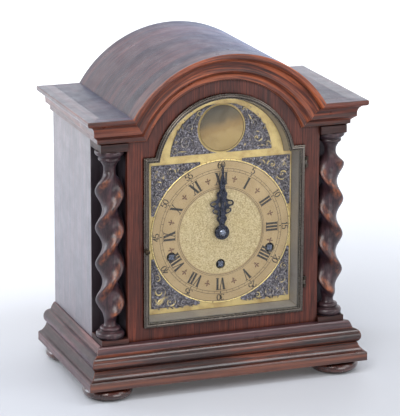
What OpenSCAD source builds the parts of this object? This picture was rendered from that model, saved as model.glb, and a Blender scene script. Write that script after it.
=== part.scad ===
// Break-arch table clock: veneered wooden case on bun feet, twist-turned corner columns,
// brass dial behind a hinged glazed bezel, and a three-train spring movement.
// Millimetres. X to the viewer's right, Y to the back, Z up. The origin lies on the table,
// under the middle of the base.

/* [Case] */
// Width over the plinth
case_w = 294; // [270:1:330]
// Depth over the plinth
case_d = 175; // [165:1:210]
// Height of the bun feet
foot_h = 14; // [8:1:20]
// Diameter of the bun feet
foot_d = 50; // [36:1:56]
// Height of the whole base moulding
base_h = 39; // [36:1:46]
// Height of the top of the cornice above the table
cornice_top = 282.7; // [276:0.1:292]
// Height of the cornice moulding
cornice_h = 26.5; // [24:0.1:28]
// Setback of the arched roof's foot from the side panel's face
arch_setback = 11.9; // [10:0.1:14]
// Height of the arch centre below the top of the cornice
arch_drop = 59.7; // [56:0.1:62]
// Thickness of the boards at the sides
board_t = 10; // [7:0.5:12]
// Thickness of the front panel and of the arched roof shell
veneer_board_t = 6; // [4:0.5:8]
// Setback of the side panels from the end of the plinth
side_setback = 18.7; // [17:0.1:20]
// Setback of the front panel from the front of the plinth
front_setback = 23.5; // [22:0.1:26]
// Width of the open corner recesses that hold the columns
corner_w = 27.8; // [26:0.1:30]
// Depth of the corner recesses behind the front panel's face
recess_d = 28.9; // [28:0.1:32]

/* [Columns] */
// Diameter of the twisted columns over the strands
column_d = 28.4; // [24:0.1:28.8]
// Length of one full turn of the twist
twist_pitch = 73.3; // [60:0.1:90]
// Radius of the columns at the necks
neck_r = 5.8; // [4:0.1:7]
// Height of the column base disc
column_foot_h = 7; // [5:0.5:9]

/* [Dial and bezel] */
// Height of the hand arbor above the table
dial_z = 155; // [152:0.5:157]
// Half width of the dial plate
dial_half = 74.6; // [73:0.1:75]
// Dial plate below the hand arbor
dial_below = 78.9; // [77:0.1:80]
// Shoulder of the dial plate above the hand arbor
dial_shoulder = 76.2; // [75:0.1:77]
// Radius of the dial plate's arch
dial_arch_r = 66.8; // [65:0.1:67.2]
// Depth of the dial's face behind the front panel's face
dial_depth = 9.6; // [9:0.1:11]
// Outer radius of the chapter ring
chapter_r = 72.5; // [70:0.1:73.5]
// Inner radius of the chapter ring
chapter_in = 43.3; // [41:0.1:46]
// Radius of the round boss in the arch
boss_r = 24; // [20:0.5:25]
// Boss centre above the hand arbor
boss_rise = 105.3; // [103:0.1:107]
// Half width over the bezel
bezel_half = 84.2; // [83:0.1:85]
// Width of the bezel's frame
bezel_w = 4.9; // [4.6:0.1:6]
// Bezel below the hand arbor
bezel_below = 88.4; // [87.5:0.1:90]
// Shoulder of the bezel above the hand arbor
bezel_shoulder = 84; // [83:0.1:85]
// Radius of the bezel's arch
bezel_arch_r = 74; // [73:0.1:75]
// Bezel standing proud of the front panel
bezel_t = 3.7; // [3.4:0.1:4.6]

/* [Movement] */
// Outer winding arbors to each side of the hand arbor
arbor_x = 52; // [51:0.1:54]
// Outer winding arbors below the hand arbor
arbor_low = 21.5; // [20:0.1:23]
// Middle winding arbor below the hand arbor
middle_low = 33.6; // [33:0.1:36]
// Distance between the movement's plates
plate_gap = 42; // [40:1:50]
// Thickness of the movement's plates
plate_t = 2; // [1.5:0.1:3]
// Half width of the movement's plates
plate_half = 80; // [79:1:88]
// Radial running clearance
run_gap = 0.05; // [0.02:0.01:0.1]
// Radius of the hammer shaft
hammer_shaft_r = 1.5; // [1.2:0.1:2]
// Radius of the chime rods
rod_r = 1.25; // [1:0.05:2]
// Spacing of the chime rods and of the hammers
rod_pitch = 8; // [7:0.5:10]

/* [Hidden] */
$fn = 64;
eps = 0.01;
gap = 0.3;

// Case planes
half_w = case_w / 2;
y_plinth = -case_d / 2;
y_rear = case_d / 2;
x_side = half_w - side_setback;
x_in = x_side - board_t;
arch_r = x_side - arch_setback;
panel_half = x_side - corner_w;
y_panel = y_plinth + front_setback;
y_panel_in = y_panel + veneer_board_t;
y_recess = y_panel + recess_d;
base_top = foot_h + base_h;
board_top = foot_h + 12;
arch_z = cornice_top - arch_drop;
arch_in = arch_r - veneer_board_t;
cornice_low = cornice_top - cornice_h;
frieze_low = cornice_low - 8;
pedestal_top = base_top + 5.5;
block_proud = 4;
foot_inset = foot_d / 2 + 1;
rear_recess = 4;
y_back = y_rear - rear_recess;
back_t = 8;

// Dial and bezel planes
y_dial = y_panel + dial_depth;
dial_t = 2;
y_bezel = y_panel - bezel_t;
bezel_gap = 0.2;
surround_t = 1;
reveal_side = 4.85;
reveal_low = 4.75;
reveal_shoulder = 3.05;
reveal_arch = 2.45;
opening_half = dial_half + reveal_side + surround_t;
opening_below = dial_below + reveal_low + surround_t;
opening_shoulder = dial_shoulder + reveal_shoulder + surround_t;
opening_arch = dial_arch_r + reveal_arch + surround_t;
knuckle_r = 1.2;
bezel_leaf = 2.6;
bezel_axis_x = bezel_half + knuckle_r + gap;
bezel_axis_y = y_panel - knuckle_r - bezel_gap;
bezel_hinge_h = 11;
bezel_hinge_up = 66;
bezel_hinge_down = 58;
bezel_hinge_z = [dial_z + bezel_hinge_up, dial_z - bezel_hinge_down];
knob_x = -(bezel_half - 1.8);
knob_z = dial_z - 9;
knob_spindle_r = 1.1;
tongue_w = 2.2;
catch_room = 9.5;

// Rear door
door_half = 88;
door_low = base_top + 10;
door_top_r = arch_in - 18;
door_gap = 0.5;
rear_knuckle_r = 1.8;
rear_axis_x = door_half + 2;
rear_axis_y = y_back + rear_knuckle_r + 0.3;
rear_hinge_h = 30;
rear_hinge_z = [door_low + 30, arch_z - 20];
button_x = -(door_half + 8);
button_z = dial_z;
button_t = 3;

// Movement planes
foot_gap = 12.4;
y_plate = y_dial + dial_t + foot_gap;
y_plate_in = y_plate + plate_t;
y_rear_plate = y_plate_in + plate_gap;
y_rear_face = y_rear_plate + plate_t;
plate_low = 62;
plate_high = 66;
seat_z = dial_z - plate_low;
seat_t = 10;
pillar_at = [plate_half - 8, 6];

// Wheels: module, teeth and places relative to the hand arbor
tooth_out = 0.85;
tooth_in = 1.15;
centre_pinion_teeth = 16;
time_wheel_teeth = 60;
time_module = 2 * middle_low / (centre_pinion_teeth + time_wheel_teeth);
centre_wheel_teeth = 64;
third_pinion_teeth = 16;
third_module = 0.6;
third_angle = 60;
third_dist = third_module * (centre_wheel_teeth + third_pinion_teeth) / 2;
third_at = third_dist * [cos(third_angle), sin(third_angle)];
third_wheel_teeth = 56;
escape_pinion_teeth = 14;
escape_module = 0.5;
escape_angle = 146;
escape_dist = escape_module * (third_wheel_teeth + escape_pinion_teeth) / 2;
escape_at = third_at + escape_dist * [cos(escape_angle), sin(escape_angle)];
balance_r = 11;
balance_at = escape_at + [0, balance_r + 10.5];
cannon_teeth = 16;
motion_wheel_teeth = 48;
motion_module = 0.75;
motion_dist = motion_module * (cannon_teeth + motion_wheel_teeth) / 2;
motion_pinion_teeth = 12;
hour_wheel_teeth = 48;
hour_module = 2 * motion_dist / (motion_pinion_teeth + hour_wheel_teeth);
motion_angle = 45;
motion_at = motion_dist * [cos(motion_angle), sin(motion_angle)];
side_wheel_teeth = 48;
side_pinion_teeth = 22;
side_module = 1;
side_angle = 80;
side_dist = side_module * (side_wheel_teeth + side_pinion_teeth) / 2;
winder_r = 4;
winder_pivot_r = 3.6;
winder_square = 5;
hole_r = 5;
stud_r = 1.5;
arbor_r = 1.5;
thin_arbor_r = 1;
cannon_r = 2.5;
hour_pipe_r = 3.6;

// Layers of the movement from the front, as distances behind the front plate's inner face
centre_wheel_y = 4;
great_wheel_y = 9;
great_wheel_t = 3;
drum_y = 13;
third_wheel_y = 28;
escape_wheel_y = 35;

// Hands
y_hour_hand = y_dial - 3.6;
hand_t = 0.8;
y_minute_hand = y_hour_hand - 2.2;
y_nut = y_minute_hand - 1.8;

// Chime rods and hammers
rod_z = base_top + 7;
rod_x = x_in - 24;
rod_y0 = y_rear_face + 20;
rod_count = 4;
hammer_at = [30, dial_z - plate_low + 8];
hammer_head = [62, rod_z + rod_r + 1.2];
hammer_head_h = 10;

// Moulding profiles as [setback from the outer face, height]
function base_profile() = concat(
    [[0, 0], [0, 8], [0.5, 8.9]],
    [for (a = [0:15:90]) [1.6 + 7.4 * (0.65 * sin(a) + 0.35 * (1 - cos(a))), 17.4 - 8 * cos(a)]],
    [for (a = [-70:14:84]) [12 - 6.3 * cos(a), 24.6 + 7.1 * sin(a)]],
    [[12.4, 31.9], [13.6, 32.1]],
    [for (a = [0:15:90]) [13.9 + 2.15 * (1 - cos(a) + sin(a)), 32.7 + (base_h - 32.7) * sin(a)]]);
function cornice_profile() = concat(
    [[0, 0.8], [0, 3.4], [0.5, 4.6], [1.5, 5.2]],
    [for (a = [0:15:90]) [1.5 + 7.5 * sin(a), 14 - 8.6 * cos(a)]],
    [[9, 17.2], [11.4, 19.1], [13.8, 21.3], [13.9, 25.3], [16.2, 25.5], [16.2, cornice_h]]);

// Board parallel to the front, from y0 to y1, drawn in X and Z
module slab(y0, y1) {
    translate([0, y1, 0]) rotate([90, 0, 0]) linear_extrude(y1 - y0) children();
}

// Rod along Y
module rod(x, z, r, y0, y1) {
    translate([x, y0, z]) rotate([-90, 0, 0]) cylinder(r = r, h = y1 - y0);
}

// Break-arch outline: half width, bottom, shoulder and arch radius, all in absolute heights
module break_arch(w, z0, z1, r, zc = arch_z) {
    translate([-w, z0]) square([2 * w, z1 - z0]);
    intersection() {
        translate([0, zc]) circle(r, $fn = 128);
        translate([-r, z1 - eps]) square([2 * r, r + zc]);
    }
}

module bun_feet() color("saddlebrown") {
    r = foot_d / 2;
    for (x = [-1, 1], y = [-1, 1])
        translate([x * (half_w - foot_inset), y * (-y_plinth - foot_inset), 0])
            rotate_extrude() polygon(concat([[0, 0], [r * 0.56, 0]],
                [for (a = [-75:15:75]) [r * 0.56 + r * 0.44 * cos(a), foot_h / 2 * (1 + sin(a))]],
                [[r * 0.56, foot_h], [0, foot_h]]));
}

module base_board() color("sienna") {
    translate([-x_side, y_panel, foot_h]) cube([2 * x_side, y_rear - y_panel, board_top - foot_h]);
}

// The front moulding's share of the plan, between the mitres at the two front corners
module mitre_wedge(x0, y0, x1, y1, z0, h) {
    translate([0, 0, z0]) linear_extrude(h)
        polygon([[-x0, y0], [x0, y0], [x1, y1], [-x1, y1]]);
}

module base_moulding_front() color("maroon") {
    intersection() {
        translate([-half_w, y_plinth, foot_h]) rotate([90, 0, 90]) linear_extrude(case_w)
            polygon(concat(base_profile(), [[front_setback, base_h], [front_setback, 0]]));
        mitre_wedge(half_w, y_plinth, x_side, y_panel, foot_h - 1, base_h + 2);
    }
}

module base_moulding_sides() color("maroon") for (s = [0, 1]) mirror([s, 0, 0]) difference() {
    translate([half_w, y_rear, foot_h]) rotate([90, 0, 0]) linear_extrude(case_d) mirror([1, 0])
        polygon(concat(base_profile(), [[side_setback, base_h], [side_setback, 0]]));
    mitre_wedge(half_w, y_plinth, x_side, y_panel, foot_h - 1, base_h + 2);
    translate([-half_w, y_plinth - 1, foot_h - 1]) cube([case_w, 1, base_h + 2]);
}

module pedestal_blocks() color("sienna") for (s = [0, 1]) mirror([s, 0, 0]) {
    translate([panel_half, y_panel, board_top])
        cube([x_side - panel_half, recess_d, base_top - board_top]);
    translate([panel_half, y_panel - block_proud, base_top])
        cube([x_side - panel_half, recess_d + block_proud, pedestal_top - base_top]);
}

module side_panel() {
    translate([x_in, y_recess, board_top])
        cube([board_t, y_rear - y_recess, cornice_top - board_t - board_top]);
}

module side_panel_left() color("rosybrown") mirror([1, 0, 0]) side_panel();
module side_panel_right() color("rosybrown") side_panel();

module front_panel() color("brown") difference() {
    slab(y_panel, y_panel_in) difference() {
        union() {
            translate([-panel_half, board_top]) square([2 * panel_half, cornice_top - board_t - board_top]);
            intersection() {
                translate([0, arch_z]) circle(arch_in, $fn = 128);
                translate([-arch_r, cornice_low]) square([2 * arch_r, arch_r + arch_drop]);
            }
        }
        break_arch(opening_half, dial_z - opening_below, dial_z + opening_shoulder, opening_arch);
    }
    // slot for the bezel's catch
    translate([knob_x - 1.4, y_panel - 1, knob_z - 2.5]) cube([2.8, veneer_board_t + 2, 12]);
}

module corner_posts() color("saddlebrown") difference() {
    for (s = [0, 1]) mirror([s, 0, 0])
        translate([0, 0, board_top]) linear_extrude(cornice_top - board_t - board_top) polygon([
            [panel_half - veneer_board_t, y_panel_in], [panel_half, y_panel_in], [panel_half, y_recess],
            [x_in, y_recess], [x_in, y_recess + veneer_board_t],
            [panel_half - veneer_board_t, y_recess + veneer_board_t]]);
    // room for the catch to turn
    translate([knob_x - catch_room, y_panel_in - 0.5, knob_z - catch_room]) cube([catch_room + 2, 2.4, 2 * catch_room]);
}

// Twisted column between the pedestal and the frieze block
column_r = column_d / 2;
column_len = frieze_low - pedestal_top;
column_at = [(panel_half + x_side) / 2 + 1.4, y_panel + recess_d - column_r - 6];
strand_phase = -110;
strand_z = 188;
core_r = 7.6;
twist_low = 15;
twist_high = 21;
twist_fade = 14;
function mix(a, b, t) = a + (b - a) * t;
function ease(t) = let (u = min(1, max(0, t))) u * u * (3 - 2 * u);
foot_turning = concat([[column_r, 0]],
    [for (a = [-60:20:60]) [column_r - 3 + 3 * cos(a), column_foot_h * (0.5 + 0.5 * sin(a))]],
    [[10, column_foot_h]], [for (a = [-30:20:50]) [8 + 2.2 * cos(a), column_foot_h + 2.4 + 2.4 * sin(a)]],
    [[neck_r + 0.6, column_foot_h + 5.4], [neck_r, column_foot_h + 7.5]]);
head_turning = [[column_r, 0], [column_r, 3], [column_r - 0.8, 4.6], [11.2, 6.4], [10.6, 7.2], [10.8, 9],
    [10.2, 10.2], [8.6, 10.8], [8, 12], [6.6, 14.5], [neck_r, 17.5]];
twist_rings = 54;
column_sides = 24;
column_profile = concat(
    [for (p = foot_turning) [p[0], p[1], 0]],
    [for (i = [1:twist_rings]) let (h = mix(column_foot_h + 8, column_len - 18, i / (twist_rings + 1)))
        [neck_r, h, ease((h - twist_low) / twist_fade) * ease((column_len - twist_high - h) / twist_fade)]],
    [for (i = [len(head_turning) - 1:-1:0]) [head_turning[i][0], column_len - head_turning[i][1], 0]]);
function strand(a, h) =
    let (turn = a - strand_phase - 360 * (h + pedestal_top - strand_z) / twist_pitch)
    column_r / sqrt(pow(cos(turn), 2) + pow(sin(turn) * column_r / core_r, 2));

module twist_column() {
    n = column_sides;
    rings = [for (p = column_profile) [for (k = [0:n - 1]) let (
        a = 360 * k / n, r = mix(p[0], strand(a, p[1]), p[2])) [r * cos(a), r * sin(a), p[1]]]];
    last = len(rings) - 1;
    points = concat([for (ring = rings) for (p = ring) p]);
    faces = concat([[for (k = [0:n - 1]) k]], [[for (k = [n - 1:-1:0]) last * n + k]],
        [for (i = [0:last - 1], k = [0:n - 1]) let (j = (k + 1) % n) [i * n + k, (i + 1) * n + k, i * n + j]],
        [for (i = [0:last - 1], k = [0:n - 1]) let (j = (k + 1) % n)
            [i * n + j, (i + 1) * n + k, (i + 1) * n + j]]);
    polyhedron(points = points, faces = faces, convexity = 8);
}

module column_left() color("chocolate")
    translate([-column_at[0], column_at[1], pedestal_top]) twist_column();
module column_right() color("chocolate") mirror([1, 0, 0])
    translate([-column_at[0], column_at[1], pedestal_top]) twist_column();

module frieze_blocks() color("sienna") for (s = [0, 1]) mirror([s, 0, 0])
    translate([panel_half, y_panel - block_proud, frieze_low])
        cube([x_side - panel_half, recess_d + block_proud, cornice_low - frieze_low]);

// Cornice: outer faces set in from the plinth
cornice_half = half_w - 1.6;
y_cornice = y_plinth + 5.9;
cornice_side_back = cornice_half - x_side;
cornice_front_back = y_panel - y_cornice;
arch_mould_h = 29;
mitre_out = [sqrt(pow(arch_r, 2) - pow(arch_drop, 2)), cornice_top];
mitre_in = [sqrt(pow(arch_r - arch_mould_h, 2) - pow(cornice_low - arch_z, 2)), cornice_low];
mitre_dir = mitre_out - mitre_in;
mitre_top = mitre_out + 0.3 * mitre_dir;
mitre_low = mitre_in - 0.3 * mitre_dir;

module cornice_strip(back) {
    mirror([0, 1]) polygon(concat(cornice_profile(), [[back, cornice_h], [back, 0], [0.6, 0]]));
}

module arch_side() {
    // outline of the arch's share, between the two mitres with the cornice
    polygon([[-mitre_low[0], mitre_low[1]], [mitre_low[0], mitre_low[1]], [mitre_top[0], mitre_top[1]],
        [arch_r + 20, mitre_top[1]], [arch_r + 20, arch_z + arch_r + 20], [-arch_r - 20, arch_z + arch_r + 20],
        [-arch_r - 20, mitre_top[1]], [-mitre_top[0], mitre_top[1]]]);
}

module cornice_fronts() color("peru") difference() {
    intersection() {
        translate([-cornice_half, y_cornice, cornice_top]) rotate([90, 0, 90])
            linear_extrude(2 * cornice_half) cornice_strip(cornice_front_back);
        mitre_wedge(cornice_half, y_cornice, x_side, y_panel, cornice_low - 1, cornice_h + 2);
    }
    slab(y_cornice - 1, y_panel + 1) arch_side();
}

module cornice_sides() color("peru") for (s = [0, 1]) mirror([s, 0, 0]) difference() {
    translate([cornice_half, y_rear, cornice_top]) rotate([90, 0, 0])
        linear_extrude(y_rear - y_cornice) mirror([1, 0]) cornice_strip(cornice_side_back);
    mitre_wedge(cornice_half, y_cornice, x_side, y_panel, cornice_low - 1, cornice_h + 2);
}

module arch_moulding() color("peru") intersection() {
    translate([0, y_cornice, arch_z]) rotate([-90, 0, 0]) rotate_extrude($fn = 128) polygon(concat(
        [for (p = cornice_profile()) [arch_r - p[1] * arch_mould_h / cornice_h, p[0]]],
        [[arch_r - arch_mould_h, cornice_front_back], [arch_r, cornice_front_back], [arch_r, 0.6]]));
    slab(y_cornice - 1, y_panel + 1) arch_side();
}

module shoulder_boards() color("rosybrown") for (s = [0, 1]) mirror([s, 0, 0])
    slab(y_panel, y_rear) difference() {
        translate([arch_in - 20, cornice_top - board_t]) square([x_side - arch_in + 20, board_t]);
        translate([0, arch_z]) circle(arch_r, $fn = 128);
    }

module vault_roof() color("rosybrown") slab(y_panel, y_rear) intersection() {
    difference() {
        translate([0, arch_z]) circle(arch_r, $fn = 128);
        translate([0, arch_z]) circle(arch_in, $fn = 128);
    }
    translate([-arch_r, cornice_top - board_t]) square([2 * arch_r, arch_r + arch_drop]);
}

module back_outline() {
    translate([-x_in, board_top]) square([2 * x_in, cornice_top - board_t - board_top]);
    intersection() {
        translate([0, arch_z]) circle(arch_in, $fn = 128);
        translate([-arch_r, cornice_low]) square([2 * arch_r, arch_r + arch_drop]);
    }
}

module door_outline(w, z0, r) {
    translate([-w, z0]) square([2 * w, arch_z - z0]);
    intersection() {
        translate([0, arch_z]) circle(r, $fn = 128);
        translate([-w, arch_z - eps]) square([2 * w, r + 1]);
    }
}

module back_frame() color("tan") difference() {
    slab(y_back - back_t, y_back) difference() {
        back_outline();
        door_outline(door_half + door_gap, door_low - door_gap, door_top_r + door_gap);
    }
    rod(button_x, button_z, 1.5 + run_gap, y_back - back_t - 1, y_back + 1);
}

module rear_door() color("burlywood")
    slab(y_back - back_t, y_back) door_outline(door_half, door_low, door_top_r);

// Two-leaf hinge on a vertical axis: the outer knuckles hold the pin, the middle one turns on it
function hinge_pin(r) = 0.45 * r;
module hinge_outer(z, h, r) {
    for (side = [-1, 1]) translate([0, 0, z + side * h / 3 - h / 6 + 0.1]) cylinder(r = r, h = h / 3 - 0.2);
    translate([0, 0, z - h / 2 + 1]) cylinder(r = hinge_pin(r), h = h - 2);
}

module hinge_middle(z, h, r) {
    difference() {
        union() {
            translate([0, 0, z - h / 6 + 0.1]) cylinder(r = r, h = h / 3 - 0.2);
            children();
        }
        translate([0, 0, z - h]) cylinder(r = hinge_pin(r) + run_gap, h = 2 * h);
    }
}

module rear_frame_leaves() color("gold") for (z = rear_hinge_z)
    translate([rear_axis_x, rear_axis_y, 0]) {
        hinge_outer(z, rear_hinge_h, rear_knuckle_r);
        for (side = [-1, 1]) translate([0, y_back - rear_axis_y, z + side * rear_hinge_h / 3 - rear_hinge_h / 6 + 0.1])
            cube([10, 0.9, rear_hinge_h / 3 - 0.2]);
    }

module rear_door_leaves() color("gold") for (z = rear_hinge_z)
    translate([rear_axis_x, rear_axis_y, 0]) hinge_middle(z, rear_hinge_h, rear_knuckle_r)
        translate([-12, y_back - rear_axis_y, z - rear_hinge_h / 6 + 0.1])
            cube([12, 0.9, rear_hinge_h / 3 - 0.2]);

module rear_turn_button() color("goldenrod") {
    slab(y_back + bezel_gap, y_back + button_t) union() {
        translate([button_x - 4, button_z - 12]) square([8, 24]);
        for (side = [-1, 1]) translate([button_x, button_z + side * 12]) circle(4);
    }
    rod(button_x, button_z, 1.5, y_back - back_t, y_back + 1);
}

module seat_board() color("burlywood") translate([0, 0, seat_z - seat_t]) linear_extrude(seat_t)
    polygon([[-panel_half + veneer_board_t, y_plate - 4], [panel_half - veneer_board_t, y_plate - 4],
        [panel_half - veneer_board_t, y_recess + veneer_board_t], [x_in, y_recess + veneer_board_t],
        [x_in, y_rear_face + 10], [-x_in, y_rear_face + 10], [-x_in, y_recess + veneer_board_t],
        [-panel_half + veneer_board_t, y_recess + veneer_board_t]]);

// Bezel door
bezel_lip = 1.5;
glass_in = 0.95;
glass_t = bezel_t - bezel_lip - bezel_gap - 0.2;

module bezel_outline(inset) break_arch(bezel_half - inset, dial_z - bezel_below + inset,
    dial_z + bezel_shoulder - inset, bezel_arch_r - inset);

module bezel_frame() color("dimgray") {
    difference() {
        union() {
            slab(y_bezel, y_bezel + bezel_lip) difference() {
                bezel_outline(0);
                bezel_outline(bezel_w);
            }
            slab(y_bezel + bezel_lip, y_panel - bezel_gap) difference() {
                bezel_outline(0);
                bezel_outline(bezel_w - glass_in);
            }
        }
        rod(knob_x, knob_z, knob_spindle_r + run_gap, y_bezel - 1, y_panel);
    }
    for (z = bezel_hinge_z) translate([bezel_axis_x, bezel_axis_y, 0])
        hinge_middle(z, bezel_hinge_h, knuckle_r)
            translate([bezel_half - bezel_axis_x - eps, -0.6, z - bezel_hinge_h / 6 + 0.1])
                cube([bezel_axis_x - bezel_half, 1.2, bezel_hinge_h / 3 - 0.2]);
}

module door_glass() color("lightblue", 0.3)
    slab(y_bezel + bezel_lip, y_bezel + bezel_lip + glass_t) bezel_outline(bezel_w - glass_in + 0.05);

module bezel_hinges() color("dimgray") for (z = bezel_hinge_z)
    translate([bezel_axis_x, bezel_axis_y, 0]) {
        hinge_outer(z, bezel_hinge_h, knuckle_r);
        for (side = [-1, 1])
            translate([0, y_panel - bezel_axis_y - 0.9, z + side * bezel_hinge_h / 3 - bezel_hinge_h / 6 + 0.1])
                cube([bezel_leaf, 0.9, bezel_hinge_h / 3 - 0.2]);
    }

module bezel_knob() color("black") {
    translate([knob_x, y_bezel - 0.1, knob_z]) rotate([90, 0, 0]) rotate_extrude() polygon([
        [0, 0], [2.2, 0], [1.6, 1], [1.5, 2], [2.7, 3.2], [2.8, 4.2], [2, 5.2], [0, 5.5]]);
    rod(knob_x, knob_z, knob_spindle_r, y_bezel - 1, y_panel_in + 0.8);
    slab(y_panel_in + 0.4, y_panel_in + 1.4)
        translate([knob_x - tongue_w / 2, knob_z - tongue_w / 2]) square([tongue_w, 9]);
}

// Dial
border_t = 0.9;
module dial_outline(inset) break_arch(dial_half - inset, dial_z - dial_below + inset,
    dial_z + dial_shoulder - inset, dial_arch_r - inset);

module arbor_holes(r, reach) {
    for (p = [[-arbor_x, -arbor_low], [arbor_x, -arbor_low], [0, -middle_low]])
        rod(p[0], dial_z + p[1], r, y_dial - reach, y_dial + reach);
}

module dial_plate() color("goldenrod") difference() {
    union() {
        slab(y_dial, y_dial + dial_t) dial_outline(0);
        for (x = [-1, 1], z = [-50, 58])
            rod(x * (plate_half - 14), dial_z + z, 3, y_dial + dial_t - eps, y_plate);
    }
    arbor_holes(hole_r, dial_t + 1);
    rod(0, dial_z, hour_pipe_r + 0.6, y_dial - 1, y_dial + dial_t + 1);
}

module surround_outline(inset) break_arch(opening_half - inset, dial_z - opening_below + inset,
    dial_z + opening_shoulder - inset, opening_arch - inset);

module sight_surround() color("darkslategray") {
    slab(y_panel, y_dial + dial_t) difference() {
        surround_outline(0.05);
        surround_outline(surround_t);
    }
    slab(y_dial, y_dial + dial_t) difference() {
        surround_outline(surround_t - eps);
        dial_outline(-0.3);
    }
}

module chapter_ring() color("khaki") difference() {
    slab(y_dial - border_t, y_dial) translate([0, dial_z]) difference() {
        circle(chapter_r, $fn = 128);
        circle(chapter_in, $fn = 128);
    }
    arbor_holes(hole_r, dial_t + 1);
}

module dial_centre() color("gold") difference() {
    slab(y_dial - 0.5, y_dial) translate([0, dial_z]) difference() {
        circle(chapter_in - 0.1, $fn = 128);
        circle(hour_pipe_r + 0.6);
    }
    arbor_holes(hole_r, dial_t + 1);
}

spandrel_inset = 3.4;
spandrel_side = 1.8;
spandrel_low = 2.5;
spandrel_in = 22;
spandrel_t = 0.8;
module corner_spandrels() color("slategray") slab(y_dial - spandrel_t, y_dial)
    for (x = [0, 1], z = [0, 1]) mirror([x, 0]) translate([0, dial_z]) mirror([0, z]) difference() {
        translate([spandrel_in, spandrel_in]) square([dial_half - spandrel_side - spandrel_in,
            (z == 0 ? dial_shoulder : dial_below - spandrel_low) - spandrel_inset - spandrel_in]);
        circle(chapter_r + 1, $fn = 128);
    }

module arch_spandrels() color("slategray") slab(y_dial - spandrel_t, y_dial)
    for (x = [0, 1]) mirror([x, 0]) difference() {
        intersection() {
            translate([0, arch_z + 9]) circle(dial_arch_r - 13.6, $fn = 128);
            translate([0, dial_z + dial_shoulder + 4.4]) square([dial_arch_r, dial_arch_r + 20]);
        }
        translate([0, dial_z + boss_rise]) circle(boss_r + 1.2);
    }

module arch_boss() color("goldenrod") translate([0, y_dial, dial_z + boss_rise]) rotate([90, 0, 0])
    rotate_extrude($fn = 96) polygon([[0, 0], [boss_r, 0], [boss_r, 1.2], [boss_r - 0.6, 1.7],
        [boss_r - 1.4, 1.7], [boss_r - 2, 1.1], [boss_r - 8, 1.5], [0, 1.9]]);

// Involute wheel outline. The first tooth points along X.
function involute(a) = tan(a) * 180 / PI - a;
module wheel2d(m, n, slack = 0.05) {
    rp = m * n / 2;
    rb = rp * cos(20);
    radii = [rp - tooth_in * m, rp, rp + tooth_out * m];
    half = [for (r = radii) 90 / n - slack / rp * 57.3 + involute(20) - involute(acos(min(1, rb / r)))];
    polygon([for (i = [0:n - 1]) each concat(
        [for (k = [0:2]) let (a = 360 * i / n - half[k]) radii[k] * [cos(a), sin(a)]],
        [for (k = [2:-1:0]) let (a = 360 * i / n + half[k]) radii[k] * [cos(a), sin(a)]])]);
}

// Wheel at a place relative to the hand arbor, turned so that a tooth points to an angle
module wheel(at, m, n, turn, y, t) {
    slab(y_plate_in + y, y_plate_in + y + t) translate([at[0], dial_z + at[1]]) rotate(turn) wheel2d(m, n);
}

module arbor(at, r, y0, y1) {
    rod(at[0], dial_z + at[1], r, y0, y1);
}

module plate_outline() {
    translate([-plate_half, dial_z - plate_low]) square([2 * plate_half, plate_low + plate_high]);
}

side_at = [arbor_x, -arbor_low];
pin_wheel_at = side_at + side_dist * [-cos(side_angle), sin(side_angle)];
mid_at = [0, -middle_low];

module plate_holes(y) {
    for (p = [third_at, escape_at, [-pin_wheel_at[0], pin_wheel_at[1]], pin_wheel_at])
        arbor(p, thin_arbor_r + run_gap, y - 1, y + plate_t + 1);
    arbor([0, 0], arbor_r + run_gap, y - 1, y + plate_t + 1);
}

module front_plate() color("darkkhaki") {
    difference() {
        slab(y_plate, y_plate_in) plate_outline();
        plate_holes(y_plate);
        for (p = [side_at, [-side_at[0], side_at[1]], mid_at])
            arbor(p, winder_pivot_r + run_gap, y_plate - 1, y_plate_in + 1);
    }
    arbor(motion_at, stud_r, y_plate - 8, y_plate + eps);
}

module back_plate() color("darkkhaki") {
    difference() {
        slab(y_rear_plate, y_rear_face) plate_outline();
        plate_holes(y_rear_plate);
        for (p = [side_at, [-side_at[0], side_at[1]], mid_at])
            arbor(p, winder_pivot_r + run_gap, y_rear_plate - 1, y_rear_face + 1);
        arbor(balance_at, thin_arbor_r + run_gap, y_rear_plate - 1, y_rear_face + 1);
    }
    for (x = [-1, 1], z = [-plate_low + pillar_at[1], plate_high - pillar_at[1]])
        rod(x * pillar_at[0], dial_z + z, 3.5, y_plate_in, y_rear_plate + eps);
    rod(hammer_at[0], hammer_at[1], hammer_shaft_r, y_rear_face - eps, rod_y0 + rod_pitch * (rod_count - 1) + 6);
}

// Mainspring barrel: toothed great wheel and drum on a winding arbor
module barrel(at, m, n, turn, r) {
    difference() {
        union() {
            wheel(at, m, n, turn, great_wheel_y, great_wheel_t);
            arbor(at, r, y_plate_in + great_wheel_y + great_wheel_t - eps, y_rear_plate - 4);
        }
        arbor(at, winder_r + run_gap, y_plate_in, y_rear_plate);
    }
}

side_drum_r = side_module * side_wheel_teeth / 2 - 1.6;
module time_barrel() color("gold") barrel(mid_at, time_module, time_wheel_teeth, 90, time_module * time_wheel_teeth / 2 - 2);
module strike_barrel() color("gold")
    barrel([-side_at[0], side_at[1]], side_module, side_wheel_teeth, side_angle, side_drum_r);
module chime_barrel() color("gold")
    barrel(side_at, side_module, side_wheel_teeth, 180 - side_angle, side_drum_r);

ratchet_r = 12;
ratchet_t = 1.6;
module winder(at) {
    arbor(at, winder_r, y_plate_in + gap, y_rear_plate - gap);
    arbor(at, winder_pivot_r, y_plate - 3, y_rear_face);
    slab(y_dial - 1, y_plate) translate([at[0], dial_z + at[1]])
        square([winder_square, winder_square], center = true);
    slab(y_plate - gap - ratchet_t, y_plate - gap) translate([at[0], dial_z + at[1]]) polygon([
        for (i = [0:19]) each [ratchet_r * [cos(18 * i), sin(18 * i)],
            (ratchet_r - 1.8) * [cos(18 * i + 15), sin(18 * i + 15)]]]);
}

module time_winder() color("silver") winder(mid_at);
module strike_winder() color("silver") winder([-side_at[0], side_at[1]]);
module chime_winder() color("silver") winder(side_at);

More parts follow.
